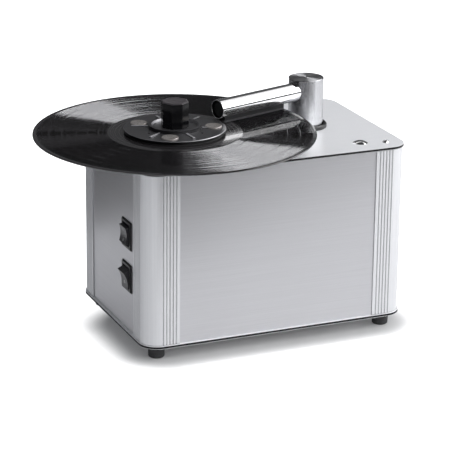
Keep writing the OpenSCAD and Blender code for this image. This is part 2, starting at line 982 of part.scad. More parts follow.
module clamp_collet() {
    color("goldenrod")
        at_spindle()
            difference() {
                union() {
                    translate([0, 0, z_disc])
                        cylinder(d = collet_d, h = collet_len);
                    translate([0, 0, z_disc])
                        cylinder(d = collet_flange_d, h = collet_flange_t);
                }
                translate([0, 0, z_disc - eps])
                    cylinder(d = tip_d + 2 * run_fit, h = collet_len + 2 * eps);
            }
}

// Suction arm: the pipe lifts in its bush, and the post turns on the pipe
post_foot = z_deck + bush_flange_t + pass_gap;
chamber_d = tube_d + 3.2;
chamber_top = z_tube + tube_d / 2 + 0.4;
riser_top = z_tube - tube_d / 2 - 3;
stop_h = 3;
stop_d = riser_d + 8;
z_bush_foot = z_deck - bush_len;
z_stop = z_bush_foot - arm_lift - 1 - stop_h;
z_seal_top = z_stop - 0.8;
inlet_seal_h = 4;
z_neck_top = z_seal_top - inlet_seal_h;
riser_dip = arm_lift + 5;
riser_foot = z_neck_top - riser_dip;
inlet_bore = riser_d + 3;
tube_start = 11;
bush_flange_gap = 0.2;

module riser_bush() {
    color("black")
        at_post()
            difference() {
                union() {
                    translate([0, 0, z_deck])
                        cylinder(d = post_d + 2 * (collar_gap - bush_flange_gap), h = bush_flange_t);
                    translate([0, 0, z_bush_foot])
                        cylinder(d = bush_d, h = bush_len + 0.01);
                }
                translate([0, 0, z_bush_foot - eps])
                    cylinder(d = riser_d + 2 * run_fit, h = bush_len + bush_flange_t + 2 * eps);
            }
}

module bush_nut() {
    color("dimgray")
        at_post()
            difference() {
                translate([0, 0, z_under_deck - nut_t])
                    cylinder(d = bush_d + 2 * nut_wall, h = nut_t, $fn = 6);
                translate([0, 0, z_under_deck - nut_t - eps])
                    cylinder(d = bush_d + 2 * push_fit, h = nut_t + 2 * eps);
            }
}

module post_collar() {
    inner_r = post_d / 2 + collar_gap;
    outer_r = collar_d / 2;
    color("black")
        at_post()
            translate([0, 0, z_deck])
                rotate_extrude()
                    polygon([[inner_r, 0], [outer_r, 0], [outer_r, collar_h - 1],
                             [outer_r - 1, collar_h], [inner_r + 0.6, collar_h],
                             [inner_r, collar_h - 0.6]]);
}

module riser_pipe() {
    color("silver")
        at_post()
            difference() {
                union() {
                    translate([0, 0, riser_foot])
                        cylinder(d = riser_d, h = riser_top - riser_foot);
                    translate([0, 0, z_stop])
                        cylinder(d = stop_d, h = stop_h);
                }
                translate([0, 0, riser_foot - eps])
                    cylinder(d = riser_bore, h = riser_top - riser_foot + 2 * eps);
                translate([0, 0, z_grub - grub_d / 2 - push_fit])
                    ring(riser_d + eps, riser_d - 2 * grub_bite, grub_d + 2 * push_fit);
            }
}

// A grub screw in the post's back runs in a groove of the pipe and holds the post on it
grub_d = 4;
grub_bite = 0.8;
z_grub = post_foot + 10;
grub_angle = tube_angle + 180;

module arm_post() {
    edge = 0.5;
    mark_d = 1.6;
    mark_deep = 0.6;
    color("lightgray")
        at_post()
            difference() {
                union() {
                    translate([0, 0, post_foot])
                        cylinder(d = post_d, h = z_post_top - post_foot - edge);
                    translate([0, 0, z_post_top - edge - 0.001])
                        cylinder(d1 = post_d, d2 = post_d - 2 * edge, h = edge + 0.001);
                }
                translate([0, 0, post_foot - eps])
                    cylinder(d = riser_d + 2 * run_fit, h = riser_top - post_foot + eps + run_fit);
                translate([0, 0, post_foot])
                    cylinder(d = chamber_d, h = chamber_top - post_foot);
                rotate(tube_angle)
                    translate([0, 0, z_tube])
                        rotate([0, 90, 0])
                            cylinder(d = tube_d + 2 * push_fit, h = post_d);
                rotate(grub_angle)
                    translate([riser_d / 2 - 1, 0, z_grub])
                        rotate([0, 90, 0])
                            cylinder(d = grub_d + 2 * push_fit, h = post_d);
                translate([0, 0, z_post_top - mark_deep])
                    cylinder(d1 = mark_d / 4, d2 = mark_d, h = mark_deep + 0.001);
            }
}

module post_grub_screw() {
    from = riser_d / 2 - grub_bite + push_fit;
    grub_len = post_d / 2 - 0.8 - from;
    color("dimgray")
        at_post()
            rotate(grub_angle)
                translate([from, 0, z_grub])
                    rotate([0, 90, 0])
                        difference() {
                            cylinder(d = grub_d, h = grub_len);
                            translate([0, 0, grub_len - 1.5])
                                cylinder(d = grub_d / 2, h = 1.5 + eps, $fn = 6);
                        }
}

// The suction slot lies over the grooves, inside the record's rim
tube_reach = post_reach - clamp_d / 2 - tube_end_gap;
slot_from = post_reach - record_d / 2 + slot_margin;
slot_to = tube_reach - plug_sink - plug_t - 1;

// Everything on the arm is drawn along X from the post's axis and turned to the tube's direction
module along_arm() {
    at_post()
        rotate(tube_angle)
            translate([0, 0, z_tube])
                children();
}

module arm_slot(w, extra) {
    translate([slot_from - extra, -w / 2, -z_tube / 4])
        cube([slot_to - slot_from + 2 * extra, w, z_tube / 4]);
}

module arm_tube() {
    color("silver")
        along_arm()
            difference() {
                translate([tube_start, 0, 0])
                    rotate([0, 90, 0])
                        cylinder(d = tube_d, h = tube_reach - tube_start);
                translate([tube_start - eps, 0, 0])
                    rotate([0, 90, 0])
                        cylinder(d = tube_d - 2 * tube_wall, h = tube_reach - tube_start + 2 * eps);
                arm_slot(slot_w, 0);
            }
}

module tube_end_plug() {
    color("black")
        along_arm()
            translate([tube_reach - plug_sink - plug_t, 0, 0])
                rotate([0, 90, 0])
                    cylinder(d = tube_d - 2 * tube_wall - 2 * push_fit, h = plug_t);
}

holder_extra = 2;
strip_foot = -z_tube + z_record + strip_gap;
holder_foot = strip_foot + strip_t;
strip_offset = (holder_w - strip_w) / 2 - 0.05;

module strip_holder() {
    color("black")
        along_arm()
            difference() {
                translate([slot_from - holder_extra, -holder_w / 2, holder_foot])
                    cube([slot_to - slot_from + 2 * holder_extra, holder_w, tube_d / 2 + 0.5]);
                rotate([0, 90, 0])
                    cylinder(d = tube_d + 2 * push_fit, h = tube_reach);
                translate([slot_from - holder_extra - eps, -tube_d / 2, -0.7 * tube_d / 2])
                    cube([tube_reach, tube_d, tube_d]);
                arm_slot(slot_w, -0.5);
            }
}

module velvet_strips() {
    color([0.1, 0.1, 0.1])
        along_arm()
            for (side = [-1, 1])
                translate([slot_from - holder_extra, side * strip_offset - strip_w / 2, strip_foot])
                    cube([slot_to - slot_from + 2 * holder_extra, strip_w, strip_t]);
}

// Waste tank, under the arm's post
tank_left = blower_x + blower_d / 2 + tank_left_gap;
tank_right = case_w / 2 - lip_in - tank_right_gap;
tank_w = tank_right - tank_left;
tank_d = 2 * (channel_y - channel_d / 2 - tank_end_gap);
boss_d = 9;
boss_in = tank_wall + boss_d / 2;
drain_x = tank_right - drain_in;
tank_back = tank_d / 2;
spigot_root_d = spigot_d + spigot_step;
spigot_flange_d = spigot_root_d + 8;
spigot_flange_t = 4;
spigot_step_y = case_d / 2 + plate_over;
spigot_end = spigot_step_y + spigot_out;
z_drain = z_inside + spigot_flange_d / 2 + 1;

module at_tank() {
    translate([(tank_left + tank_right) / 2, 0, 0])
        children();
}

module at_lid_screws() {
    for (sx = [-1, 1], sy = [-1, 1])
        translate([sx * (tank_w / 2 - boss_in), sy * (tank_d / 2 - boss_in), 0])
            children();
}

module tank_rim_2d(screw_holes) {
    difference() {
        round_rect(tank_w, tank_d, tank_r);
        difference() {
            round_rect(tank_w - 2 * tank_wall, tank_d - 2 * tank_wall, tank_r - tank_wall);
            at_lid_screws()
                circle(d = boss_d);
        }
        if (screw_holes)
            at_lid_screws()
                circle(d = screw_hole_d);
    }
}

module waste_tank() {
    color("whitesmoke")
        difference() {
            at_tank() {
                translate([0, 0, z_inside])
                    linear_extrude(tank_wall)
                        round_rect(tank_w, tank_d, tank_r);
                translate([0, 0, z_inside + tank_wall - 0.01])
                    linear_extrude(tank_h - tank_wall + 0.01)
                        tank_rim_2d(false);
            }
            at_tank()
                at_lid_screws()
                    translate([0, 0, z_lid - lid_screw_len - 1])
                        cylinder(d = screw_hole_d, h = lid_screw_len + 1);
            translate([drain_x, tank_back - tank_wall - eps, z_drain])
                rotate([-90, 0, 0])
                    cylinder(d = spigot_root_d + 2 * push_fit, h = tank_wall + 2 * eps);
        }
}

module lid_gasket() {
    color("black")
        at_tank()
            translate([0, 0, z_inside + tank_h])
                linear_extrude(gasket_t)
                    tank_rim_2d(true);
}

outlet_x = tank_left + outlet_in;
outlet_y = tank_d / 2 - outlet_from_back;
lid_over = 2;
lid_screw_len = 12;
lid_screw_head_h = 2.6;

module tank_lid() {
    color("gainsboro")
        difference() {
            union() {
                at_tank()
                    translate([0, 0, z_lid])
                        linear_extrude(lid_t)
                            round_rect(tank_w + 2 * lid_over, tank_d + 2 * lid_over, tank_r + lid_over);
                at_post()
                    translate([0, 0, z_lid])
                        cylinder(d = inlet_bore + 2 * neck_wall, h = z_neck_top - z_lid);
                translate([outlet_x, outlet_y, z_lid])
                    cylinder(d = neck_d, h = lid_t + neck_h);
            }
            at_post()
                translate([0, 0, z_lid - eps])
                    cylinder(d = inlet_bore, h = z_neck_top - z_lid + 2 * eps);
            translate([outlet_x, outlet_y, z_lid - eps])
                cylinder(d = neck_d - 2 * neck_wall, h = lid_t + neck_h + 2 * eps);
            at_tank()
                at_lid_screws()
                    translate([0, 0, z_lid - eps])
                        cylinder(d = screw_hole_d, h = lid_t + 2 * eps);
        }
}

module lid_screws() {
    color("silver")
        at_tank()
            at_lid_screws() {
                translate([0, 0, z_lid_top])
                    cylinder(d = 2 * screw_d, h = lid_screw_head_h);
                translate([0, 0, z_lid - lid_screw_len])
                    cylinder(d = screw_d, h = lid_screw_len + lid_t + 0.01);
            }
}

module inlet_seal() {
    color("black")
        at_post()
            translate([0, 0, z_neck_top])
                ring(inlet_bore + 2 * neck_wall, riser_d + 2 * push_fit, inlet_seal_h);
}

module drain_spigot() {
    color("black")
        translate([drain_x, 0, z_drain])
            rotate([-90, 0, 0])
                difference() {
                    union() {
                        translate([0, 0, tank_back - tank_wall])
                            cylinder(d = spigot_root_d, h = spigot_step_y - tank_back + tank_wall);
                        translate([0, 0, tank_back])
                            cylinder(d = spigot_flange_d, h = spigot_flange_t);
                        translate([0, 0, spigot_step_y])
                            cylinder(d = spigot_d, h = spigot_out);
                    }
                    translate([0, 0, tank_back - tank_wall - eps])
                        cylinder(d = spigot_bore, h = spigot_end);
                }
}

module drain_plug() {
    head_d = spigot_d - 1;
    rim_t = 2;
    neck_t = 3;
    neck_in = 1.5;
    color("darkred")
        translate([drain_x, spigot_end, z_drain])
            rotate([-90, 0, 0]) {
                translate([0, 0, -plug_len])
                    cylinder(d = spigot_bore - 2 * push_fit, h = plug_len + 0.01);
                cylinder(d = head_d, h = rim_t);
                translate([0, 0, rim_t - 0.01])
                    cylinder(d = head_d - 2 * neck_in, h = neck_t);
                translate([0, 0, rim_t + neck_t - 0.02])
                    cylinder(d = head_d, h = rim_t);
            }
}

// Blower, standing on rubber mounts beside the tank
z_motor = z_inside + mount_h;
z_fan_floor = z_motor + blower_motor_h;
z_fan_roof = z_fan_floor + blower_wall + fan_space;
z_blower_top = z_fan_roof + blower_wall;
duct_w = 36;
duct_x = blower_x;
eye_d = neck_d - 2 * neck_wall;
fan_shaft_d = 8;
fan_hub_d = 18;
fan_disc_t = 2;
fan_gap = 2;
z_fan = z_fan_floor + blower_wall + fan_gap;
fan_h = fan_space - 2 * fan_gap - 2;
blade_t = 1.4;
blade_lean = 35;
mount_r = 24;
mount_d = 12;
motor_flange_t = 4;
motor_flange_over = 2;
// How far the fan's shaft, and the bore for it, go down into the motor
fan_shaft_in = 20;
fan_bore_in = 24;

module blower_mounts() {
    color("black")
        at_blower()
            for (a = [0 : 120 : 240])
                rotate(a)
                    translate([mount_r, 0, z_inside])
                        cylinder(d = mount_d, h = mount_h);
}

module blower_motor() {
    color("steelblue")
        at_blower()
            difference() {
                union() {
                    translate([0, 0, z_motor])
                        cylinder(d = blower_motor_d + 2 * motor_flange_over, h = motor_flange_t);
                    translate([0, 0, z_motor])
                        cylinder(d = blower_motor_d, h = blower_motor_h);
                }
                translate([0, 0, z_fan_floor - fan_bore_in])
                    cylinder(d = fan_shaft_d + 2 * run_fit, h = fan_bore_in + eps);
            }
}

module duct_2d(gap) {
    translate([-duct_w / 2 + gap, 0])
        square([duct_w - 2 * gap, back_inner - blower_y]);
}

module blower_housing() {
    color("dimgray")
        difference() {
            at_blower()
                translate([0, 0, z_fan_floor])
                    linear_extrude(blower_wall + fan_space) {
                        circle(d = blower_d);
                        duct_2d(0);
                    }
            at_blower() {
                translate([0, 0, z_fan_floor + blower_wall])
                    cylinder(d = blower_d - 2 * blower_wall, h = fan_space + eps);
                translate([0, 0, z_fan_floor - eps])
                    cylinder(d = fan_hub_d + 2, h = blower_wall + 2 * eps);
                translate([0, 0, z_fan_floor + blower_wall])
                    linear_extrude(fan_space - blower_wall)
                        translate([0, eps])
                            duct_2d(blower_wall);
            }
        }
}

module blower_cover() {
    color("gray")
        at_blower()
            difference() {
                union() {
                    translate([0, 0, z_fan_roof])
                        cylinder(d = blower_d, h = blower_wall);
                    translate([0, 0, z_fan_roof])
                        cylinder(d = neck_d, h = blower_wall + neck_h);
                }
                translate([0, 0, z_fan_roof - eps])
                    cylinder(d = eye_d, h = blower_wall + neck_h + 2 * eps);
            }
}

module blower_fan() {
    color("white")
        at_blower() {
            translate([0, 0, z_fan])
                cylinder(d = fan_d, h = fan_disc_t);
            translate([0, 0, z_fan])
                cylinder(d = fan_hub_d, h = fan_h);
            translate([0, 0, z_fan_floor - fan_shaft_in])
                cylinder(d = fan_shaft_d, h = fan_shaft_in + z_fan - z_fan_floor + 1);
            for (i = [0 : fan_blades - 1])
                rotate(i * 360 / fan_blades)
                    translate([fan_hub_d / 2 - 1.5, 0, z_fan + fan_disc_t - 0.01])
                        rotate(blade_lean)
                            translate([0, -blade_t / 2, 0])
                                cube([(fan_d - fan_hub_d) * 0.52, blade_t, fan_h - fan_disc_t]);
        }
}

// The hose arches from the blower's eye to the tank's lid, between two wider cuffs
cuff_bore = neck_d + 2 * push_fit;
cuff_d = cuff_bore + 2 * hose_wall;
hose_bore = eye_d;
hose_d = hose_bore + 2 * hose_wall;
hose_span = norm([outlet_x - blower_x, outlet_y - blower_y]);
hose_turn = atan2(outlet_y - blower_y, outlet_x - blower_x);
hose_grip = neck_h - 3;
cuff_roof = 2;
z_hose = max(z_lid_top, z_blower_top) + neck_h + cuff_roof + 1;

module hose_cuff(z_neck_foot) {
    cuff_foot = z_neck_foot + neck_h - hose_grip;
    translate([0, 0, cuff_foot])
        difference() {
            cylinder(d = cuff_d, h = z_hose - cuff_foot);
            translate([0, 0, -eps])
                cylinder(d = cuff_bore, h = z_hose - cuff_foot - cuff_roof + eps);
            cylinder(d = hose_bore + 1, h = z_hose - cuff_foot + eps);
        }
}

module suction_hose() {
    color("gray") {
        translate([blower_x, blower_y, 0])
            hose_cuff(z_blower_top);
        translate([outlet_x, outlet_y, 0])
            hose_cuff(z_lid_top);
        translate([(blower_x + outlet_x) / 2, (blower_y + outlet_y) / 2, z_hose])
            rotate([90, 0, hose_turn])
                rotate_extrude(angle = 180)
                    translate([hose_span / 2, 0])
                        difference() {
                            circle(d = hose_d);
                            circle(d = hose_bore);
                        }
    }
}

// Switches, drawn with the outward side along +X and the rocker's pivot at the origin
switch_levels = [z_case + upper_switch_z, z_case + upper_switch_z - switch_pitch];
switch_face_x = -(case_w / 2 - panel_inset) - bezel_t;
pivot_deep = 5;
pocket_deep = 9;
pivot_d = 4;
switch_body_h = rocker_open_h + 3;
switch_body_w = rocker_open_w + 3;
rocker_w = rocker_open_w - 0.8;
terminal_w = 6.3;
terminal_t = 0.8;
terminal_len = 7;
terminal_pitch = 8;
bezel_step = 0.8;

module at_switch(level) {
    translate([switch_face_x + pivot_deep, switch_y, level])
        mirror([1, 0, 0])
            children();
}

module switch_body() {
    difference() {
        union() {
            translate([pivot_deep - bezel_t, -bezel_w / 2, -bezel_h / 2])
                cube([bezel_t * 0.5, bezel_w, bezel_h]);
            translate([pivot_deep - bezel_t * 0.5 - 0.01, -bezel_w / 2 + bezel_step,
                       -bezel_h / 2 + bezel_step])
                cube([bezel_t * 0.5 + 0.01, bezel_w - 2 * bezel_step, bezel_h - 2 * bezel_step]);
            translate([pivot_deep - bezel_t - switch_depth, -switch_body_w / 2, -switch_body_h / 2])
                cube([switch_depth + 0.01, switch_body_w, switch_body_h]);
            for (i = [-1, 0, 1])
                translate([pivot_deep - bezel_t - switch_depth - terminal_len, -terminal_t / 2,
                           i * terminal_pitch - terminal_w / 2])
                    cube([terminal_len + 0.01, terminal_t, terminal_w]);
        }
        translate([-pocket_deep, -rocker_open_w / 2, -rocker_open_h / 2])
            cube([pocket_deep + pivot_deep + eps, rocker_open_w, rocker_open_h]);
        rotate([90, 0, 0])
            translate([0, 0, -(rocker_open_w / 2 + 1)])
                cylinder(d = pivot_d + 2 * run_fit, h = rocker_open_w + 2);
    }
}

// Side view of a rocker: two raised tips with a shallow hollow between them
rocker_tip = 9;
rocker_tip_h = 9.4;
rocker_hollow = 1.6;
rocker_heel_h = 11.3;

function hollow_points(n) = [
    for (i = [0 : n])
        let (h = rocker_tip_h * (1 - 2 * i / n))
            [rocker_tip - rocker_hollow * (1 - pow(h / rocker_tip_h, 2)), h]
];

module rocker_body() {
    rotate([90, 0, 0])
        translate([0, 0, -rocker_w / 2])
            linear_extrude(rocker_w)
                polygon(concat(
                    hollow_points(14),
                    [[0.5, -rocker_heel_h], [-2, -rocker_heel_h + 1], [-5, -5], [-5, 5],
                     [-2, rocker_heel_h - 1], [0.5, rocker_heel_h]]
                ));
    rotate([90, 0, 0])
        translate([0, 0, -(rocker_open_w / 2 + 0.8)])
            cylinder(d = pivot_d, h = rocker_open_w + 1.6);
}

module motor_switch() {
    color("black")
        at_switch(switch_levels[0])
            switch_body();
}

module vacuum_switch() {
    color("black")
        at_switch(switch_levels[1])
            switch_body();
}

module motor_rocker() {
    color([0.2, 0.2, 0.2])
        at_switch(switch_levels[0])
            rocker_body();
}

// The vacuum switch is pressed in at its bottom
module vacuum_rocker() {
    color([0.2, 0.2, 0.2])
        at_switch(switch_levels[1])
            rotate([0, rocker_tilt, 0])
                rocker_body();
}

// Mains inlet with its fuse drawer, drawn with the outward side along +Y
z_inlet = z_case + inlet_z;
inlet_body_w = 27.4;
inlet_body_h = 37.4;
inlet_body_deep = 24;
inlet_flange_w = 50;
inlet_flange_h = 42;
inlet_flange_t = 2.5;
inlet_flange_r = 5;
inlet_screw_d = 6;
inlet_screw_h = 1.4;
inlet_screw_out = 20;
recess_w = 24.6;
recess_h = 17;
recess_deep = 17;
recess_up = 7.5;
pin_w = 2;
pin_h = 4;
pin_len = 15;
pin_places = [[-7, -2], [7, -2], [0, 2]];
drawer_w = 23;
drawer_h = 8;
drawer_deep = 20;
drawer_down = 11.5;
drawer_lip = 1;
drawer_lip_t = 1.4;
drawer_wall = 1.2;

module at_inlet() {
    translate([inlet_x, back_face, z_inlet])
        children();
}

module inlet_pin(gap, from, to) {
    for (p = pin_places)
        translate([p[0] - pin_w / 2 - gap, from, recess_up + p[1] - pin_h / 2 - gap])
            cube([pin_w + 2 * gap, to - from, pin_h + 2 * gap]);
}

module mains_inlet() {
    color("black")
        at_inlet()
            difference() {
                union() {
                    rotate([-90, 0, 0])
                        linear_extrude(inlet_flange_t)
                            round_rect(inlet_flange_w, inlet_flange_h, inlet_flange_r);
                    translate([-inlet_body_w / 2, -inlet_body_deep, -inlet_body_h / 2])
                        cube([inlet_body_w, inlet_body_deep + 0.01, inlet_body_h]);
                    for (side = [-1, 1])
                        translate([side * inlet_screw_out, 0, 0])
                            rotate([-90, 0, 0])
                                cylinder(d = inlet_screw_d, h = inlet_flange_t + inlet_screw_h);
                }
                translate([-recess_w / 2, inlet_flange_t - recess_deep, recess_up - recess_h / 2])
                    cube([recess_w, recess_deep + eps, recess_h]);
                translate([-drawer_w / 2 - push_fit, inlet_flange_t - drawer_deep - push_fit,
                           -drawer_down - drawer_h / 2 - push_fit])
                    cube([drawer_w + 2 * push_fit, drawer_deep + eps + push_fit, drawer_h + 2 * push_fit]);
                inlet_pin(push_fit, -inlet_body_deep - eps, 0);
            }
}

module inlet_pins() {
    color("silver")
        at_inlet()
            inlet_pin(0, -inlet_body_deep - 7, inlet_flange_t - recess_deep + pin_len - 1);
}

module fuse_drawer() {
    color([0.15, 0.15, 0.15])
        at_inlet()
            difference() {
                union() {
                    translate([-drawer_w / 2, inlet_flange_t - drawer_deep, -drawer_down - drawer_h / 2])
                        cube([drawer_w, drawer_deep + 0.01, drawer_h]);
                    translate([-drawer_w / 2 - drawer_lip, inlet_flange_t, -drawer_down - drawer_h / 2 - 0.6])
                        cube([drawer_w + 2 * drawer_lip, drawer_lip_t, drawer_h + 1.2]);
                }
                translate([-drawer_w / 2 + drawer_wall, inlet_flange_t - drawer_deep + 2, -drawer_down - 2.6])
                    cube([drawer_w - 2 * drawer_wall, drawer_travel - 3, drawer_h]);
            }
}

// Control board on four posts, in the back left corner
board_x = -case_w / 2 + board_from_left;
board_y = case_d / 2 - board_from_back;
board_z = z_inside + board_post_h;
post_in = 4;
board_margin = 5;
relay_pitch = relay_w + 3;

module board_block(from_left, from_front, w, d, h) {
    translate([from_left - board_w / 2, from_front - board_d / 2, board_z + board_t - 0.01])
        cube([w, d, h]);
}

module control_board() {
    color("darkgreen")
        translate([board_x, board_y, 0]) {
            translate([-board_w / 2, -board_d / 2, board_z])
                cube([board_w, board_d, board_t]);
            for (sx = [-1, 1], sy = [-1, 1])
                translate([sx * (board_w / 2 - post_in), sy * (board_d / 2 - post_in), z_inside])
                    cylinder(d = board_post_d, h = board_post_h + 0.01);
            board_block(board_margin, board_margin, board_w - 2 * board_margin, supply_d, supply_h);
            for (i = [0, 1])
                board_block(board_margin + i * relay_pitch, 2 * board_margin + supply_d,
                            relay_w, relay_d, relay_h);
            for (i = [0 : capacitor_count - 1])
                translate([(i - (capacitor_count - 1) / 2) * (capacitor_d + 4),
                           board_d / 2 - board_margin - capacitor_d / 2, board_z + board_t - 0.01])
                    cylinder(d = capacitor_d, h = capacitor_h);
        }
}

bottom_plate();
top_plate();
profile_at(-1, -1);  // profile_front_left
profile_at(1, -1);  // profile_front_right
profile_at(-1, 1);  // profile_back_left
profile_at(1, 1);  // profile_back_right
front_panel();
back_panel();
left_panel();
right_panel();
feet();
corner_screws();
blanking_cap();
spindle_bush();
motor_bracket();
bracket_pillars();
pillar_screws();
gear_motor();
output_shaft();
coupling();
spindle();
platter();
platter_mat();
record();
clamp_seal();
clamp_disc();
clamp_pads();
clamp_knob();
clamp_collet();
riser_bush();
bush_nut();
post_collar();
riser_pipe();
arm_post();
post_grub_screw();
arm_tube();
tube_end_plug();
strip_holder();
velvet_strips();
waste_tank();
lid_gasket();
tank_lid();
lid_screws();
inlet_seal();
drain_spigot();
drain_plug();
suction_hose();
blower_mounts();
blower_motor();
blower_housing();
blower_cover();
blower_fan();
motor_switch();
motor_rocker();
vacuum_switch();
vacuum_rocker();
mains_inlet();
inlet_pins();
fuse_drawer();
control_board();
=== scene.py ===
"""Record cleaning machine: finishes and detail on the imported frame.

Metres, with +X right along the front, +Y back and +Z up. A name that ends in _MM is in millimetres.
"""

import math

import bmesh
import bpy
from mathutils import Matrix, Vector


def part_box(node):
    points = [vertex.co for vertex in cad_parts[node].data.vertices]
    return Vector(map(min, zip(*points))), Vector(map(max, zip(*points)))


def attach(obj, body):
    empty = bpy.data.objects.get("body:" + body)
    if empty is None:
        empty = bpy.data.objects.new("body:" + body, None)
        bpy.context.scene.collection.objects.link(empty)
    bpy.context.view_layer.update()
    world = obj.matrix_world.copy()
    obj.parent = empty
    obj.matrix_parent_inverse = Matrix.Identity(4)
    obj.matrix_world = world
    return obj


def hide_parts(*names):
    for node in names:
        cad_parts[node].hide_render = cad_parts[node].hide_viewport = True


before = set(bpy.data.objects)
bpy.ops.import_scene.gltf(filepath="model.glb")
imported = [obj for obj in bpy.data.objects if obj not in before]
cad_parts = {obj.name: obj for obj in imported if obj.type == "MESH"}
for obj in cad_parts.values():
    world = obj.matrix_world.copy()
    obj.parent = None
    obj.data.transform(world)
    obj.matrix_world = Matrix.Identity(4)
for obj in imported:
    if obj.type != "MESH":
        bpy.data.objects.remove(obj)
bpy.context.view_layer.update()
scene = bpy.context.scene
scene.view_settings.view_transform = "Standard"
MM = 0.001
TAU = 2 * math.pi


def middle(node):
    low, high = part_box(node)
    return (low + high) / 2


SPINDLE = middle("spindle")
POST = middle("arm_post")

# Camera, at the photograph's viewing angle

PICTURE = 450
CAMERA_AT_MM = (-926.6, -2121.0, 897.3)
CAMERA_TURN = (-23.16, 18.93, 0.59)  # azimuth, elevation and roll, in degrees
CAMERA_LENS = 175.25
CAMERA_SHIFT = (-0.3, 1.3)  # pixels


def make_camera():
    data = bpy.data.cameras.new("camera")
    data.sensor_width = 36
    data.lens = CAMERA_LENS
    data.shift_x = CAMERA_SHIFT[0] / PICTURE
    data.shift_y = CAMERA_SHIFT[1] / PICTURE
    data.clip_start = 0.05
    data.clip_end = 60
    cam = bpy.data.objects.new("camera", data)
    scene.collection.objects.link(cam)
    az, el, roll = (math.radians(v) for v in CAMERA_TURN)
    back = Vector((math.sin(az) * math.cos(el), -math.cos(az) * math.cos(el), math.sin(el)))
    side = Vector((0, 0, 1)).cross(back).normalized()
    up = back.cross(side)
    c, s = math.cos(roll), math.sin(roll)
    right, top = c * side + s * up, -s * side + c * up
    turn = Matrix((right, top, back)).transposed().to_4x4()
    cam.matrix_world = Matrix.Translation(Vector(CAMERA_AT_MM) * MM) @ turn
    scene.camera = cam


make_camera()

# Materials. Colours are linear, noise scales are per metre and bump depths are in metres

NOISE_SPAN = (0.3, 0.7)  # where most of a noise's values lie

# Face radii on the record, between its label, run-out, cut grooves and rim
LABEL_MM, RUN_OUT_MM, CUT_MM = 49.9, 72.2, 146.6
TRACK_GAPS_MM = (133.4, 119.8, 104.6, 92.3, 81.0)
GROOVES_PER_MM = 7.3
WALL_SLOPE = (1.12, 1.32)
STRAY_SLOPE = 0.45  # the most that a groove's wall is steeper here and there
SPIRAL_MM = (57.0, 72.0)
RIM_MM = (149.8, 150.1)
LABEL_RINGS_MM = ((47.2, 47.8), (17.0, 17.5))

TUBE_BORE = 0.00945  # just over the bore's radius
GROOVE_REACH = 0.0015  # how far the painted shade in the corner profiles' grooves looks for a wall
RING_RISE = 0.0037  # of the clamp disc's ring over its ribs' root
RIB_TOPS = (0.0004, 0.0014)  # above that root
RIB_RADII = (0.0290, 0.048)
CHIP_RISE = 0.0098  # the control board's parts stand above this height over its foot

# The rockers' marks
BAR_TALL, BAR_WIDE, BAR_GAP = 0.0015, 0.00025, 0.0007  # half sizes, and half the pair's spacing
RING_RADII = (0.0011, 0.0016)
MARK_EDGE = 0.00008


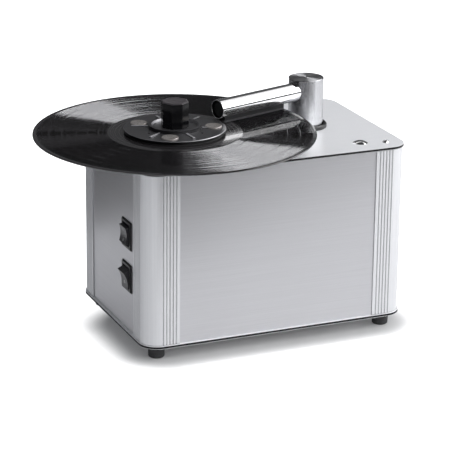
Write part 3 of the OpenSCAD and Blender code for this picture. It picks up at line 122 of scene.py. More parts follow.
class Graph:
    """Short hand for the nodes of one material, or of the world."""

    def __init__(self, name, owner=None, kind="Material"):
        self.owner = owner or bpy.data.materials.new(name)
        self.owner.use_nodes = True
        self.tree = self.owner.node_tree
        self.tree.nodes.clear()
        self.out = self.tree.nodes.new("ShaderNodeOutput" + kind)
        self.point = self.node("TexCoord").outputs["Object"]

    def node(self, kind, inputs=None, **props):
        made = self.tree.nodes.new("ShaderNode" + kind)
        for key, value in props.items():
            setattr(made, key, value)
        for key, value in (inputs or {}).items():
            self.put(made.inputs[key], value)
        return made

    def put(self, socket, value):
        if isinstance(value, bpy.types.NodeSocket):
            self.tree.links.new(value, socket)
        else:
            socket.default_value = value

    def math(self, op, a, b=0.0, c=0.0):
        return self.node("Math", {0: a, 1: b, 2: c}, operation=op).outputs[0]

    def times(self, a, b):
        return self.math("MULTIPLY", a, b)

    def either(self, a, b):
        """The greater of two masks, where a may be none so far."""
        return b if a is None else self.math("MAXIMUM", a, b)

    def weigh(self, a, b, share):
        """share of a, and the rest of b."""
        return self.math("MULTIPLY_ADD", a, share, self.times(b, 1 - share))

    def vector(self, op, a, b=None, out=0):
        """A vector operation, with out "Value" where its result is a number."""
        inputs = {0: a} if b is None else {0: a, 1: b}
        return self.node("VectorMath", inputs, operation=op).outputs[out]

    def stretched(self, vector, factor):
        return self.node("VectorMath", {0: vector, "Scale": factor}, operation="SCALE").outputs[0]

    def axis(self, letter, vector=None):
        return self.node("SeparateXYZ", {0: vector or self.point}).outputs["XYZ".index(letter)]

    def scaled(self, x, y, z, vector=None):
        return self.vector("MULTIPLY", vector or self.point, (x, y, z))

    def moved(self, x, y, z):
        return self.vector("SUBTRACT", self.point, (x, y, z))

    def from_axis(self, centre):
        """The level vector from a vertical axis to the point."""
        return self.scaled(1, 1, 0, self.moved(centre.x, centre.y, 0))

    def radius(self, centre):
        """Distance from a vertical axis, in metres."""
        return self.vector("LENGTH", self.from_axis(centre), out="Value")

    def in_mm(self, value):
        return self.times(value, 1 / MM)

    def normal(self, kind="Normal"):
        return self.node("NewGeometry").outputs[kind]

    def rings(self, value, scale, detail=3.0):
        """Noise that depends on one value only."""
        inputs = {"W": self.times(value, scale), "Scale": 1.0, "Detail": detail, "Roughness": 0.6}
        return self.node("TexNoise", inputs, noise_dimensions="1D").outputs[0]

    def noise(self, vector, scale=1.0, detail=4.0, rough=0.6):
        inputs = {"Vector": vector, "Scale": scale, "Detail": detail, "Roughness": rough}
        return self.node("TexNoise", inputs).outputs[0]

    def span(self, value, low, high, to_low=0.0, to_high=1.0, **props):
        inputs = {0: value, 1: low, 2: high, 3: to_low, 4: to_high}
        return self.node("MapRange", inputs, **props).outputs[0]

    def swing(self, noise, low=0.0, high=1.0):
        """A noise, spread from low to high."""
        return self.span(noise, *NOISE_SPAN, low, high)

    def blend(self, fac, a, b):
        mix = self.node("Mix", data_type="RGBA")
        self.put(mix.inputs[0], fac)
        for socket, value in ((mix.inputs[6], a), (mix.inputs[7], b)):
            self.put(socket, value if isinstance(value, bpy.types.NodeSocket) else (*value, 1.0))
        return mix.outputs[2]

    def shade(self, noise, dark, light):
        """A colour that goes from dark to light with a noise."""
        return self.blend(self.swing(noise), dark, light)

    def lerp(self, fac, a, b):
        mix = self.node("Mix")
        for socket, value in ((mix.inputs[0], fac), (mix.inputs[2], a), (mix.inputs[3], b)):
            self.put(socket, value)
        return mix.outputs[0]

    def between(self, value, low, high, soft):
        """1 where value lies between low and high, 0 elsewhere."""
        up = self.span(value, low - soft, low + soft)
        down = self.span(value, high - soft, high + soft, 1.0, 0.0)
        return self.times(up, down)

    def bump(self, height, depth, strength=1.0, under=None):
        inputs = {"Strength": strength, "Distance": depth, "Height": height}
        if under is not None:
            inputs["Normal"] = under
        return self.node("Bump", inputs).outputs[0]

    def finish(self, colour, rough, metal=0.0, normal=None, tangent=None, **fixed):
        shader = self.node("BsdfPrincipled")
        given = isinstance(colour, bpy.types.NodeSocket)
        self.put(shader.inputs["Base Color"], colour if given else (*colour, 1.0))
        self.put(shader.inputs["Roughness"], rough)
        self.put(shader.inputs["Metallic"], metal)
        for key, value in (("Normal", normal), ("Tangent", tangent)):
            if value is not None:
                self.put(shader.inputs[key], value)
        for key, value in fixed.items():
            shader.inputs[key.replace("_", " ")].default_value = value
        self.tree.links.new(shader.outputs[0], self.out.inputs[0])
        return self.owner


def anodised():
    """The corner profiles: fine grained, with painted shade that makes them darker down in their
    grooves.
    """
    g = Graph("anodised_aluminium")
    fine = g.noise(g.scaled(2600, 2600, 9), detail=3)
    broad = g.noise(g.scaled(240, 240, 3), detail=2)
    grain = g.noise(g.scaled(9000, 9000, 9000), detail=1)
    tone = g.weigh(fine, broad, 0.5)
    colour = g.shade(tone, (0.665, 0.67, 0.69), (0.755, 0.76, 0.775))
    painted_shade_ao = g.node("AmbientOcclusion", {"Distance": GROOVE_REACH}, samples=6).outputs["AO"]
    # Painted shade: the ambient occlusion darkens the colour down in the grooves.
    colour = g.blend(g.span(painted_shade_ao, 0.35, 0.95, 0.85, 0.0), colour, (0.10, 0.10, 0.105))
    normal = g.bump(grain, 0.00002, 0.25, g.bump(tone, 0.00003, 0.35))
    return g.finish(colour, g.swing(tone, 0.46, 0.38), 0.7, normal)


def brushed():
    """The panels: brushed level, with a slow change of gloss."""
    g = Graph("brushed_panel")
    fine = g.noise(g.scaled(14, 14, 4200), detail=4, rough=0.7)
    broad = g.noise(g.scaled(3, 3, 420), detail=3)
    cloud = g.noise(g.point, 9, detail=2)
    tone = g.weigh(fine, broad, 0.85)
    colour = g.blend(g.span(tone, 0.25, 0.75), (0.525, 0.525, 0.545), (0.62, 0.62, 0.642))
    rough = g.math("ADD", g.swing(tone, 0.42, 0.34), g.swing(cloud, -0.02, 0.02))
    return g.finish(colour, rough, 0.9, g.bump(fine, 0.00002, 0.2), Anisotropic=0.4)


def composite():
    """The metal skins of the composite plates: very fine brushing along X."""
    g = Graph("composite_plate")
    fine = g.noise(g.scaled(18, 3600, 3600), detail=4, rough=0.7)
    cloud = g.noise(g.point, 14, detail=3)
    skin = g.shade(fine, (0.76, 0.765, 0.78), (0.84, 0.845, 0.86))
    skin = g.blend(g.span(cloud, 0.35, 0.7, 0.0, 0.25), skin, (0.79, 0.79, 0.805))
    return g.finish(skin, g.swing(fine, 0.44, 0.34), 0.15, g.bump(fine, 0.00003, 0.25))


def plate_core():
    """Their black plastic core, with the faint lines of the router along its cut edge."""
    g = Graph("plate_core")
    lines = g.rings(g.axis("Z"), 9000, 2)
    grain = g.noise(g.point, 2500, 3)
    colour = g.shade(grain, (0.006, 0.006, 0.0065), (0.013, 0.013, 0.014))
    normal = g.bump(lines, 0.00003, 0.3)
    return g.finish(colour, g.swing(lines, 0.5, 0.62), 0.0, normal, Specular_IOR_Level=0.2)


def turned(name, centre, base, rough, metal, aniso):
    """Turned about a vertical axis: fine marks round the sides and rings on the faces."""
    g = Graph(name)
    radius = g.radius(centre)
    level = g.axis("Z")
    facing = g.math("ABSOLUTE", g.axis("Z", g.normal("True Normal")))
    across = g.lerp(g.span(facing, 0.6, 0.8), level, radius)
    marks = g.rings(across, 5200, 3)
    wide = g.rings(across, 700, 2)
    tone = g.weigh(marks, wide, 0.7)
    dust = g.noise(g.point, 260, 3)
    colour = g.shade(tone, tuple(v * 0.82 for v in base), base)
    value = g.math("ADD", g.swing(tone, rough * 1.25, rough * 0.85),
                   g.span(dust, 0.4, 0.7, 0.0, 0.03))
    value = g.math("ADD", value, g.span(facing, 0.6, 0.8, 0.0, 0.2))
    tangent = g.node("Tangent", direction_type="RADIAL", axis="Z").outputs[0]
    return g.finish(colour, value, metal, g.bump(marks, 0.00003, 0.3), tangent,
                    Anisotropic=aniso, Anisotropic_Rotation=0.25)


def chrome_colour(g):
    """The colour of chrome with a faint haze, and the haze."""
    haze = g.noise(g.point, 55, 4)
    return haze, g.blend(g.span(haze, 0.35, 0.7), (0.86, 0.86, 0.87), (0.93, 0.93, 0.94))


def chrome():
    g = Graph("chrome")
    haze, colour = chrome_colour(g)
    scratch = g.noise(g.scaled(300, 2400, 2400), detail=3, rough=0.7)
    rough = g.math("ADD", g.span(haze, 0.35, 0.7, 0.05, 0.09),
                   g.span(scratch, 0.6, 0.75, 0.0, 0.05))
    return g.finish(colour, rough, 1.0, g.bump(scratch, 0.000004, 0.2))


def tube_chrome():
    """The arm's tube: chrome outside, a brushed cut end and a bore coloured almost black as painted
    shade.
    """
    g = Graph("tube_chrome")
    plug = middle("tube_end_plug")
    way = (plug.xy - POST.xy).normalized()
    arm = g.moved(POST.x, POST.y, plug.z)
    across = g.vector("DOT_PRODUCT", arm, (-way.y, way.x, 0), "Value")
    flat = g.node("CombineXYZ", {0: across, 1: g.axis("Z", arm), 2: 0.0}).outputs[0]
    bore = g.math("LESS_THAN", g.vector("LENGTH", flat, out="Value"), TUBE_BORE)
    end = g.vector("DOT_PRODUCT", g.normal("True Normal"), (way.x, way.y, 0), "Value")
    haze, colour = chrome_colour(g)
    scratch = g.noise(g.scaled(900, 900, 900), detail=3, rough=0.7)
    # Painted shade: the inside of the bore is coloured almost black.
    colour = g.blend(bore, colour, (0.006, 0.006, 0.007))
    rough = g.math("ADD", g.span(haze, 0.35, 0.7, 0.05, 0.08),
                   g.span(scratch, 0.6, 0.75, 0.0, 0.04))
    rough = g.lerp(g.math("MAXIMUM", bore, g.times(g.swing(end), 0.8)), rough, 0.55)
    return g.finish(colour, rough, 1.0, g.bump(scratch, 0.000003, 0.2))


def vinyl():
    """The cut vinyl, whose grooves' walls lean both ways along the radius, too fine to see."""
    g = Graph("vinyl")
    radius = g.radius(SPINDLE)
    mm = g.in_mm(radius)
    loud = g.rings(radius, 700, 5)
    tracks = None
    for at in TRACK_GAPS_MM:
        tracks = g.either(tracks, g.between(mm, at - 0.3, at + 0.3, 0.15))
    cut = g.math("SUBTRACT", 1.0, g.times(tracks, 0.55))
    wave = g.math("SINE", g.times(mm, TAU * GROOVES_PER_MM))
    side = g.math("MULTIPLY_ADD", g.math("GREATER_THAN", wave, 0.0), 2.0, -1.0)
    slope = g.swing(g.rings(radius, 16000, 2), *WALL_SLOPE)
    stray = g.span(g.rings(radius, 330, 3), 0.56, 0.70, 0.0, STRAY_SLOPE)
    lean = g.times(g.times(side, g.math("ADD", slope, stray)), cut)
    push = g.stretched(g.vector("NORMALIZE", g.from_axis(SPINDLE)), lean)
    normal = g.vector("NORMALIZE", g.vector("ADD", g.normal(), push))
    black = g.shade(loud, (0.0045, 0.0042, 0.0045), (0.012, 0.0115, 0.0125))
    g.owner.cycles.use_bump_map_correction = False
    return g.finish(black, g.swing(loud, 0.10, 0.19), 0.0, normal, IOR=2.1,
                    Specular_IOR_Level=0.9, Specular_Tint=(0.965, 0.965, 1.0, 1.0),
                    Coat_Weight=0.25, Coat_Roughness=0.03)


def vinyl_land():
    """The smooth vinyl of the rim and the run-out, with the run-out's few wide turns."""
    g = Graph("vinyl_land")
    radius = g.radius(SPINDLE)
    mm = g.in_mm(radius)
    turn = g.math("FRACT", g.times(mm, 0.22))
    spiral = g.times(g.between(mm, *SPIRAL_MM, 0.3), g.math("LESS_THAN", turn, 0.05))
    faint = g.rings(radius, 5200, 3)
    smear = g.noise(g.point, 60, 4)
    colour = g.shade(faint, (0.016, 0.0152, 0.016), (0.024, 0.023, 0.0245))
    rough = g.math("ADD", g.swing(smear, 0.17, 0.25), g.times(spiral, 0.2))
    rough = g.lerp(g.span(mm, *RIM_MM), rough, 0.06)
    return g.finish(colour, rough, 0.0, g.bump(faint, 0.00001, 0.2), IOR=1.6,
                    Coat_Weight=0.5, Coat_Roughness=0.04)


def label_paper():
    """A plain printed label: cream paper with two thin rings."""
    g = Graph("label_paper")
    mm = g.in_mm(g.radius(SPINDLE))
    ink = None
    for ring in LABEL_RINGS_MM:
        ink = g.either(ink, g.between(mm, *ring, 0.05))
    fibre = g.noise(g.point, 900, 4)
    paper = g.shade(fibre, (0.36, 0.29, 0.19), (0.42, 0.345, 0.23))
    colour = g.blend(ink, paper, (0.10, 0.09, 0.08))
    return g.finish(colour, g.swing(fibre, 0.55, 0.7), 0.0, g.bump(fibre, 0.00002, 0.3))


def anthracite():
    """The clamp: dark turned faces, broken edges coloured lighter as a painted highlight, and ribs
    whose bright tops are partly machined metal and partly a painted highlight.
    """
    g = Graph("anthracite")
    radius = g.radius(SPINDLE)
    rings = g.rings(radius, 2600, 3)
    grain = g.noise(g.point, 5200, 3)
    tone = g.weigh(rings, grain, 0.5)
    facing = g.axis("Z", g.normal("True Normal"))
    face = g.shade(tone, (0.095, 0.094, 0.10), (0.15, 0.148, 0.156))
    edge = g.between(facing, 0.25, 0.92, 0.05)
    colour = g.blend(g.span(facing, 0.1, 0.3), (0.006, 0.006, 0.007), face)
    # Painted highlight: the sloped broken edges are coloured lighter.
    colour = g.blend(edge, colour, (0.34, 0.34, 0.355))
    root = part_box("clamp_disc")[1].z - RING_RISE
    tops = g.between(g.axis("Z"), root + RIB_TOPS[0], root + RIB_TOPS[1], 0.0001)
    ribs = g.times(tops, g.between(radius, *RIB_RADII, 0.0002))
    # Partly painted highlight: the ribs' tops are coloured bright, both as machined metal and as a
    # highlight.
    colour = g.blend(ribs, colour, (0.66, 0.66, 0.68))
    return g.finish(colour, g.swing(tone, 0.36, 0.26), 0.75, g.bump(tone, 0.00003, 0.3))


def nickel():
    """The clamp's pads: dull and blotched."""
    g = Graph("nickel")
    blotch = g.noise(g.point, 150, 4)
    fine = g.noise(g.point, 2200, 3)
    colour = g.shade(blotch, (0.32, 0.295, 0.28), (0.50, 0.47, 0.45))
    normal = g.bump(fine, 0.00004, 0.35, g.bump(blotch, 0.0002, 0.2))
    return g.finish(colour, g.swing(fine, 0.24, 0.38), 0.62, normal)


def knob_black():
    """The clamp's knob: gloss flats and a duller turned top."""
    g = Graph("knob_black")
    top = g.span(g.axis("Z", g.normal()), 0.5, 0.9)
    rings = g.rings(g.radius(SPINDLE), 2400, 3)
    fine = g.noise(g.point, 3000, 3)
    face = g.shade(rings, (0.050, 0.046, 0.050), (0.085, 0.078, 0.082))
    flats = g.blend(fine, (0.003, 0.003, 0.0035), (0.006, 0.006, 0.007))
    colour = g.blend(top, flats, face)
    rough = g.lerp(top, g.swing(fine, 0.13, 0.18), g.swing(rings, 0.30, 0.42))
    return g.finish(colour, rough, 0.0, g.bump(fine, 0.000012, 0.2),
                    Coat_Weight=0.03, Coat_Roughness=0.08, Specular_IOR_Level=0.14)


def grained(name, dark, light, rough_low, rough_high, scale=2400, **fixed):
    """Moulded plastic, rubber or paint: a fine grain with a slow change of tone and gloss."""
    g = Graph(name)
    fine = g.noise(g.point, scale, 4)
    slow = g.noise(g.point, scale / 60, 3)
    colour = g.shade(slow, dark, light)
    rough = g.math("ADD", g.swing(fine, rough_low, rough_high), g.swing(slow, -0.03, 0.03))
    return g.finish(colour, rough, 0.0, g.bump(fine, 0.00006, 0.35), **fixed)


def rocker_plastic():
    """The rockers and their plain marks: a bar over two bars, and a bar over a ring."""
    g = Graph("rocker_plastic")
    fine = g.noise(g.point, 1500, 4)
    slow = g.noise(g.point, 25, 3)
    across, up = g.axis("Y"), g.axis("Z")
    marks = None
    for node, foot in (("motor_rocker", "bars"), ("vacuum_rocker", "ring")):
        low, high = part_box(node)
        y, z, half = (low.y + high.y) / 2, (low.z + high.z) / 2, (high.z - low.z) / 2
        bars = [(y, z + 0.5 * half)]
        if foot == "bars":
            bars += [(y - BAR_GAP, z - 0.5 * half), (y + BAR_GAP, z - 0.5 * half)]
        for at, level in bars:
            tall = g.between(up, level - BAR_TALL, level + BAR_TALL, MARK_EDGE)
            wide = g.between(across, at - BAR_WIDE, at + BAR_WIDE, MARK_EDGE)
            marks = g.either(marks, g.times(wide, tall))
        if foot == "ring":
            flat = g.scaled(0, 1, 1, g.moved(0, y, z - 0.5 * half))
            ring = g.between(g.vector("LENGTH", flat, out="Value"), *RING_RADII, MARK_EDGE)
            marks = g.either(marks, ring)
    outward = g.math("LESS_THAN", g.axis("X", g.normal()), -0.5)
    colour = g.shade(slow, (0.016, 0.016, 0.018), (0.030, 0.030, 0.033))
    colour = g.blend(g.times(marks, outward), colour, (0.62, 0.62, 0.60))
    return g.finish(colour, g.swing(fine, 0.24, 0.36), 0.0, g.bump(fine, 0.00006, 0.35))


def velvet():
    g = Graph("velvet")
    pile = g.noise(g.point, 3800, 3)
    lay = g.noise(g.point, 160, 3)
    colour = g.shade(lay, (0.008, 0.008, 0.010), (0.026, 0.025, 0.030))
    return g.finish(colour, g.swing(pile, 0.85, 1.0), 0.0, g.bump(pile, 0.0003, 0.8),
                    Sheen_Weight=0.6, Sheen_Roughness=0.4)


def cast_metal(name, dark, light, rough):
    g = Graph(name)
    fine = g.noise(g.point, 2600, 4)
    slow = g.noise(g.point, 80, 3)
    colour = g.shade(slow, dark, light)
    normal = g.bump(fine, 0.00003, 0.3)
    return g.finish(colour, g.swing(fine, rough, rough + 0.12), 0.95, normal)


def board():
    """The control board: green with tracks, and dark parts on it."""
    g = Graph("board_green")
    above = g.math("GREATER_THAN", g.axis("Z"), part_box("control_board")[0].z + CHIP_RISE)
    brick = {"Vector": g.point, "Scale": 180.0, "Mortar Size": 0.03}
    tracks = g.node("TexBrick", brick).outputs["Fac"]
    green = g.blend(tracks, (0.012, 0.10, 0.035), (0.03, 0.20, 0.07))
    patch = g.span(g.noise(g.point, 60, 1), 0.48, 0.52)
    parts = g.blend(patch, (0.02, 0.02, 0.025), (0.10, 0.10, 0.13))
    return g.finish(g.blend(above, green, parts), g.swing(g.noise(g.point, 1500, 3), 0.3, 0.5))


MATERIALS = {
    "anodised_aluminium": anodised(),
    "brushed_panel": brushed(),
    "composite_plate": composite(),
    "chrome": chrome(),
    "turned_aluminium": turned("turned_aluminium", POST, (0.60, 0.605, 0.625), 0.20, 1.0, 0.9),
    "steel": cast_metal("steel", (0.42, 0.42, 0.43), (0.58, 0.58, 0.59), 0.28),
    "vinyl": vinyl(),
    "anthracite": anthracite(),
    "nickel": nickel(),
    "knob_black": knob_black(),
    "rubber_black": grained("rubber_black", (0.010, 0.010, 0.011), (0.020, 0.020, 0.021),
                            0.48, 0.68, 1900),
    "velvet": velvet(),
    "black_plastic": grained("black_plastic", (0.010, 0.010, 0.011), (0.018, 0.018, 0.019),
                             0.26, 0.42),
    "rocker_plastic": rocker_plastic(),
    "tank_plastic": grained("tank_plastic", (0.70, 0.73, 0.74), (0.78, 0.81, 0.82),
                            0.30, 0.42, 900, Subsurface_Weight=0.15),
    "hose_rubber": grained("hose_rubber", (0.022, 0.023, 0.025), (0.04, 0.04, 0.043),
                           0.42, 0.6, 1200),
    "brass": cast_metal("brass", (0.55, 0.38, 0.15), (0.72, 0.52, 0.24), 0.26),
    "motor_paint": grained("motor_paint", (0.05, 0.055, 0.06), (0.09, 0.095, 0.10),
                           0.35, 0.5, 700),
    "platter_black": turned("platter_black", SPINDLE, (0.03, 0.03, 0.032), 0.34, 0.6, 0.4),
    "fan_plastic": grained("fan_plastic", (0.30, 0.31, 0.32), (0.38, 0.39, 0.40),
                           0.4, 0.55, 900),
    "board_green": board(),
}
PLATE_CORE = plate_core()
LAND, LABEL = vinyl_land(), label_paper()

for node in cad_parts.values():
    for slot in node.material_slots:
        slot.material = MATERIALS[slot.material.name.split(".")[0]]

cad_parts["arm_tube"].material_slots[0].material = tube_chrome()
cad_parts["strip_holder"].material_slots[0].material = grained(
    "holder_black", (0.005, 0.005, 0.0055), (0.010, 0.010, 0.011), 0.45, 0.6,
    Specular_IOR_Level=0.25)

# Pieces

WELD = 0.000002
BREAK_ANGLE = 35  # an edge sharper than this is broken
CORNER_STEPS = 4
SLOT_STEPS = 8
HOLE_EDGE = 0.0002

BROKEN_EDGES_MM = {
    "front_panel": 0.25, "left_panel": 0.25, "right_panel": 0.25, "back_panel": 0.25,
    "arm_tube": 0.25, "clamp_disc": 0.18, "clamp_pads": 0.2,
    "motor_switch": 0.45, "vacuum_switch": 0.45, "motor_rocker": 0.5, "vacuum_rocker": 0.5,
    "strip_holder": 0.3, "mains_inlet": 0.4, "fuse_drawer": 0.3, "post_collar": 0.25,
    "drain_spigot": 0.3, "drain_plug": 0.4}


def soften(node, width):
    """Breaks the sharp edges of a kept CAD node, and gives it clean normals."""
    weld = node.modifiers.new("weld", "WELD")
    weld.merge_threshold = WELD
    bevel = node.modifiers.new("bevel", "BEVEL")
    bevel.limit_method = "ANGLE"
    bevel.angle_limit = math.radians(BREAK_ANGLE)
    bevel.width = width
    bevel.segments = 2
    bevel.use_clamp_overlap = True
    bevel.miter_outer = "MITER_ARC"
    normals = node.modifiers.new("normals", "WEIGHTED_NORMAL")
    normals.keep_sharp = True
    normals.weight = 90


def put_mesh(name, verts, faces, body, slot, replaced=(), smooth=30.0):
    """A new piece that rides on body, with the finish of its material slot."""
    mesh = bpy.data.meshes.new(name)
    mesh.from_pydata([tuple(v) for v in verts], [], faces)
    mesh.update()
    work = bmesh.new()
    work.from_mesh(mesh)
    bmesh.ops.remove_doubles(work, verts=work.verts, dist=1e-7)
    bmesh.ops.recalc_face_normals(work, faces=work.faces)
    work.to_mesh(mesh)
    work.free()
    mesh.shade_smooth()
    mesh.set_sharp_from_angle(angle=math.radians(smooth))
    piece = bpy.data.objects.new(name, mesh)
    scene.collection.objects.link(piece)
    mesh.materials.append(MATERIALS[slot])
    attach(piece, body)
    if replaced:
        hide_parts(*replaced)
    return piece


def rounded(points, radii):
    """A profile of (r, z) points with its corners rounded, each by its own radius or by 0."""
    out = []
    count = len(points)
    for i, (point, radius) in enumerate(zip(points, radii)):
        here = Vector(point)
        if radius <= 0:
            out.append(here)
            continue
        before, after = Vector(points[i - 1]) - here, Vector(points[(i + 1) % count]) - here
        reach = min(radius, before.length / 2.01, after.length / 2.01)
        start, end = here + before.normalized() * reach, here + after.normalized() * reach
        for k in range(CORNER_STEPS + 1):
            t = k / CORNER_STEPS
            out.append((1 - t) ** 2 * start + 2 * t * (1 - t) * here + t * t * end)
    return out


def lathe(name, profile, centre, body, steps, **kw):
    """Turns a closed profile of (r, z) about a vertical axis through centre."""
    verts, faces = [], []
    count = len(profile)
    for k in range(steps):
        c, s = math.cos(TAU * k / steps), math.sin(TAU * k / steps)
        verts += [(centre[0] + p[0] * c, centre[1] + p[0] * s, p[1]) for p in profile]
    for k in range(steps):
        a, b = k * count, (k + 1) % steps * count
        for i in range(count):
            j = (i + 1) % count
            faces.append((a + i, b + i, b + j, a + j))
    return put_mesh(name, verts, faces, body, **kw)


def arc_loop(corners, steps):
    """A closed outline with rounded corners, each (x, y, radius), counter-clockwise.

    It is a list of points and outward normals, as every loop here is.
    """
    loop = []
    count = len(corners)
    for i, (x, y, radius) in enumerate(corners):
        here = Vector((x, y))
        a = (Vector(corners[i - 1][:2]) - here).normalized()
        b = (Vector(corners[(i + 1) % count][:2]) - here).normalized()
        half = a.angle(b) / 2
        centre = here + (a + b).normalized() * (radius / math.sin(half))
        first = -(a + b).normalized()
        sweep = math.pi - 2 * half
        for k in range(steps + 1):
            t = (k / steps - 0.5) * sweep
            c, s = math.cos(t), math.sin(t)
            way = Vector((first.x * c - first.y * s, first.x * s + first.y * c))
            loop.append((centre + way * radius, way))
    return loop


def circle_loop(x, y, radius, steps=48):
    loop = []
    for k in range(steps):
        c, s = math.cos(TAU * k / steps), math.sin(TAU * k / steps)
        loop.append((Vector((x + radius * c, y + radius * s)), Vector((c, s))))
    return loop


def stadium_loop(x, y, width, length):
    """A slot along Y with round ends."""
    radius, reach = width / 2, length / 2 - width / 2
    loop = []
    for k in range(2 * SLOT_STEPS + 2):
        half = k // (SLOT_STEPS + 1)
        a = math.pi * (k - half) / SLOT_STEPS
        way = Vector((math.cos(a), math.sin(a)))
        loop.append((Vector((x, y + (reach if half == 0 else -reach))) + way * radius, way))
    return loop


def slab(name, outer, levels, holes, body, **kw):
    """A flat piece: its outline at each (z, inset) of levels, through holes and filled faces."""
    work = bmesh.new()
    rims = []
    low, high = levels[0][0], levels[-1][0]
    hole_levels = ((low, -HOLE_EDGE), (low + HOLE_EDGE, 0.0), (high - HOLE_EDGE, 0.0),
                   (high, -HOLE_EDGE))
    for loop, steps in [(outer, levels)] + [(h, hole_levels) for h in holes]:
        rows = [[work.verts.new((*(p - n * inset), z)) for p, n in loop] for z, inset in steps]
        for under, over in zip(rows, rows[1:]):
            for i in range(len(loop)):
                j = (i + 1) % len(loop)
                work.faces.new((under[i], under[j], over[j], over[i]))
        rims.append((rows[0], rows[-1]))
    for which in (0, 1):
        edges = []
        for pair in rims:
            row = pair[which]
            edges += [work.edges.get((row[i], row[(i + 1) % len(row)])) for i in range(len(row))]
        bmesh.ops.triangle_fill(work, edges=edges, use_beauty=True)
    work.verts.index_update()
    verts = [v.co.copy() for v in work.verts]
    faces = [tuple(v.index for v in f.verts) for f in work.faces]
    work.free()
    return put_mesh(name, verts, faces, body, **kw)


def make_record():
    """Beaded rim, lead-in, cut grooves set below it, smooth run-out and a thin label.

    Both sides are alike.
    """
    upper = [(3.62, 0.9), (3.62, 1.70), (3.75, 1.80), (49.7, 1.80), (50.0, 1.76), (50.2, 1.64),
             (51.5, 1.58), (71.8, 1.58), (72.1, 1.55)]
    upper += [(r, 1.55) for r in range(76, 145, 4)]
    upper += [(146.4, 1.55), (146.9, 1.58), (147.7, 1.66), (148.4, 1.76), (149.2, 1.80),
              (150.0, 1.78), (150.5, 1.66), (150.74, 1.40), (150.8, 1.05)]
    lower = [(r, 1.8 - z) for r, z in reversed(upper)]
    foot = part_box("record")[0].z
    profile = [(r * MM, foot + z * MM) for r, z in upper + lower[:-1]]
    disc = lathe("record_disc", profile, SPINDLE, "platter", 360, replaced=["record"],
                 slot="vinyl")
    disc.data.materials.append(LAND)
    disc.data.materials.append(LABEL)
    for face in disc.data.polygons:
        radius = (face.center.xy - SPINDLE.xy).length / MM
        land = radius < RUN_OUT_MM or radius > CUT_MM
        face.material_index = 2 if radius < LABEL_MM else 1 if land else 0


KNOB_SIDES, KNOB_TURN = 8, 100
KNOB_REACH_MM, KNOB_CORNER_MM = 15.1, 0.9
KNOB_BORE_MM, KNOB_DEPTH_MM = 6.1, 17.3


def make_knob():
    """Eight gloss flats with small rounded corners, a broken top edge and a dished turned face."""
    low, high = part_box("clamp_knob")
    centre = SPINDLE
    corners = []
    for k in range(KNOB_SIDES):
        a = math.radians(KNOB_TURN + 360 / KNOB_SIDES * k)
        corners.append((centre.x + KNOB_REACH_MM * MM * math.cos(a),
                        centre.y + KNOB_REACH_MM * MM * math.sin(a), KNOB_CORNER_MM * MM))
    loop = arc_loop(corners, 5)
    count = len(loop)
    verts, faces = [], []

    def circle(radius_mm, z):
        for p, _ in loop:
            way = (p - centre.xy).normalized()
            verts.append((*(centre.xy + way * radius_mm * MM), z))

    rise = (high.z - low.z) / MM
    insets = [(0.0, 0.35), (0.3, 0.1), (0.7, 0.0), (rise - 1.35, 0.0), (rise - 1.1, 0.06),
              (rise - 0.25, 0.95), (rise - 0.07, 1.2), (rise, 1.55)]
    for z, step in insets:
        verts += [(*(p - n * step * MM), low.z + z * MM) for p, n in loop]
    dish = ((11.6, 0.0), (11.0, 0.28), (7.0, 0.36), (2.2, 0.38), (1.2, 0.62))
    for radius_mm, drop in dish:
        circle(radius_mm, high.z - drop * MM)
    rows = len(insets) + len(dish)
    for z in (low.z + KNOB_DEPTH_MM * MM, low.z):
        circle(KNOB_BORE_MM, z)
    for row in range(rows - 1):
        a, b = row * count, (row + 1) * count
        for i in range(count):
            j = (i + 1) % count
            faces.append((a + i, a + j, b + j, b + i))
    faces.append(tuple((rows - 1) * count + i for i in range(count)))
    top, foot = rows * count, (rows + 1) * count
    faces.append(tuple(top + i for i in range(count)))
    for i in range(count):
        j = (i + 1) % count
        faces.append((top + i, top + j, foot + j, foot + i))
        faces.append((foot + i, foot + j, j, i))
    put_mesh("knob_grip", verts, faces, "clamp_knob", replaced=["clamp_knob"],
             slot="knob_black", smooth=24)


FOOT_RADIUS_MM = 9.5
# (r, z) and how far the corner there is rounded
FOOT_PROFILE_MM = (
    (2.1, 15, 0), (2.1, 5.3, 0), (4.55, 5.3, 0), (4.55, 0.5, 0.3), (5.0, 0, 0.3), (8.1, 0, 0.6),
    (8.8, 0.9, 0.5), (9.1, 6.2, 0.2), (8.95, 6.6, 0.3), (9.15, 7.0, 0.2), (9.5, 14.4, 0.3),
    (9.2, 15, 0))


def make_feet():
    """Turned rubber feet with a rounded tread, a waist line and the recess of their screw."""
    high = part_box("feet")[1]
    points = [(r * MM, z * MM) for r, z, soft in FOOT_PROFILE_MM]
    profile = rounded(points, [soft * MM for r, z, soft in FOOT_PROFILE_MM])
    for i, (sx, sy) in enumerate(((-1, -1), (1, -1), (-1, 1), (1, 1))):
        centre = (sx * (high.x - FOOT_RADIUS_MM * MM), sy * (high.y - FOOT_RADIUS_MM * MM))
        lathe(f"foot_{i + 1}", profile, centre, "casing", 64,
              replaced=["feet"] if i == 0 else (), slot="rubber_black", smooth=40)


PLATE_CORNER_MM = 21.5
# (z, inset): the skins' broken edges and the core between them
PLATE_LEVELS_MM = ((0.0, 0.12), (0.08, 0.0), (0.26, 0.0), (0.32, 0.10),
                   (2.68, 0.10), (2.74, 0.0), (2.92, 0.0), (3.0, 0.12))
CORE_MM = (0.29, 2.71)
BRACKET_INSET_MM = 5.5  # of its screws from the motor bracket's sides
SPINDLE_HOLE_MM, POST_HOLE_MM, CAP_HOLE_MM, SCREW_HOLE_MM = 9.1, 18.1, 6.25, 4.1  # radii
SLOT_PITCH_MM, SLOT_WIDTH_MM, SLOT_LENGTH_MM = 8, 3, 40


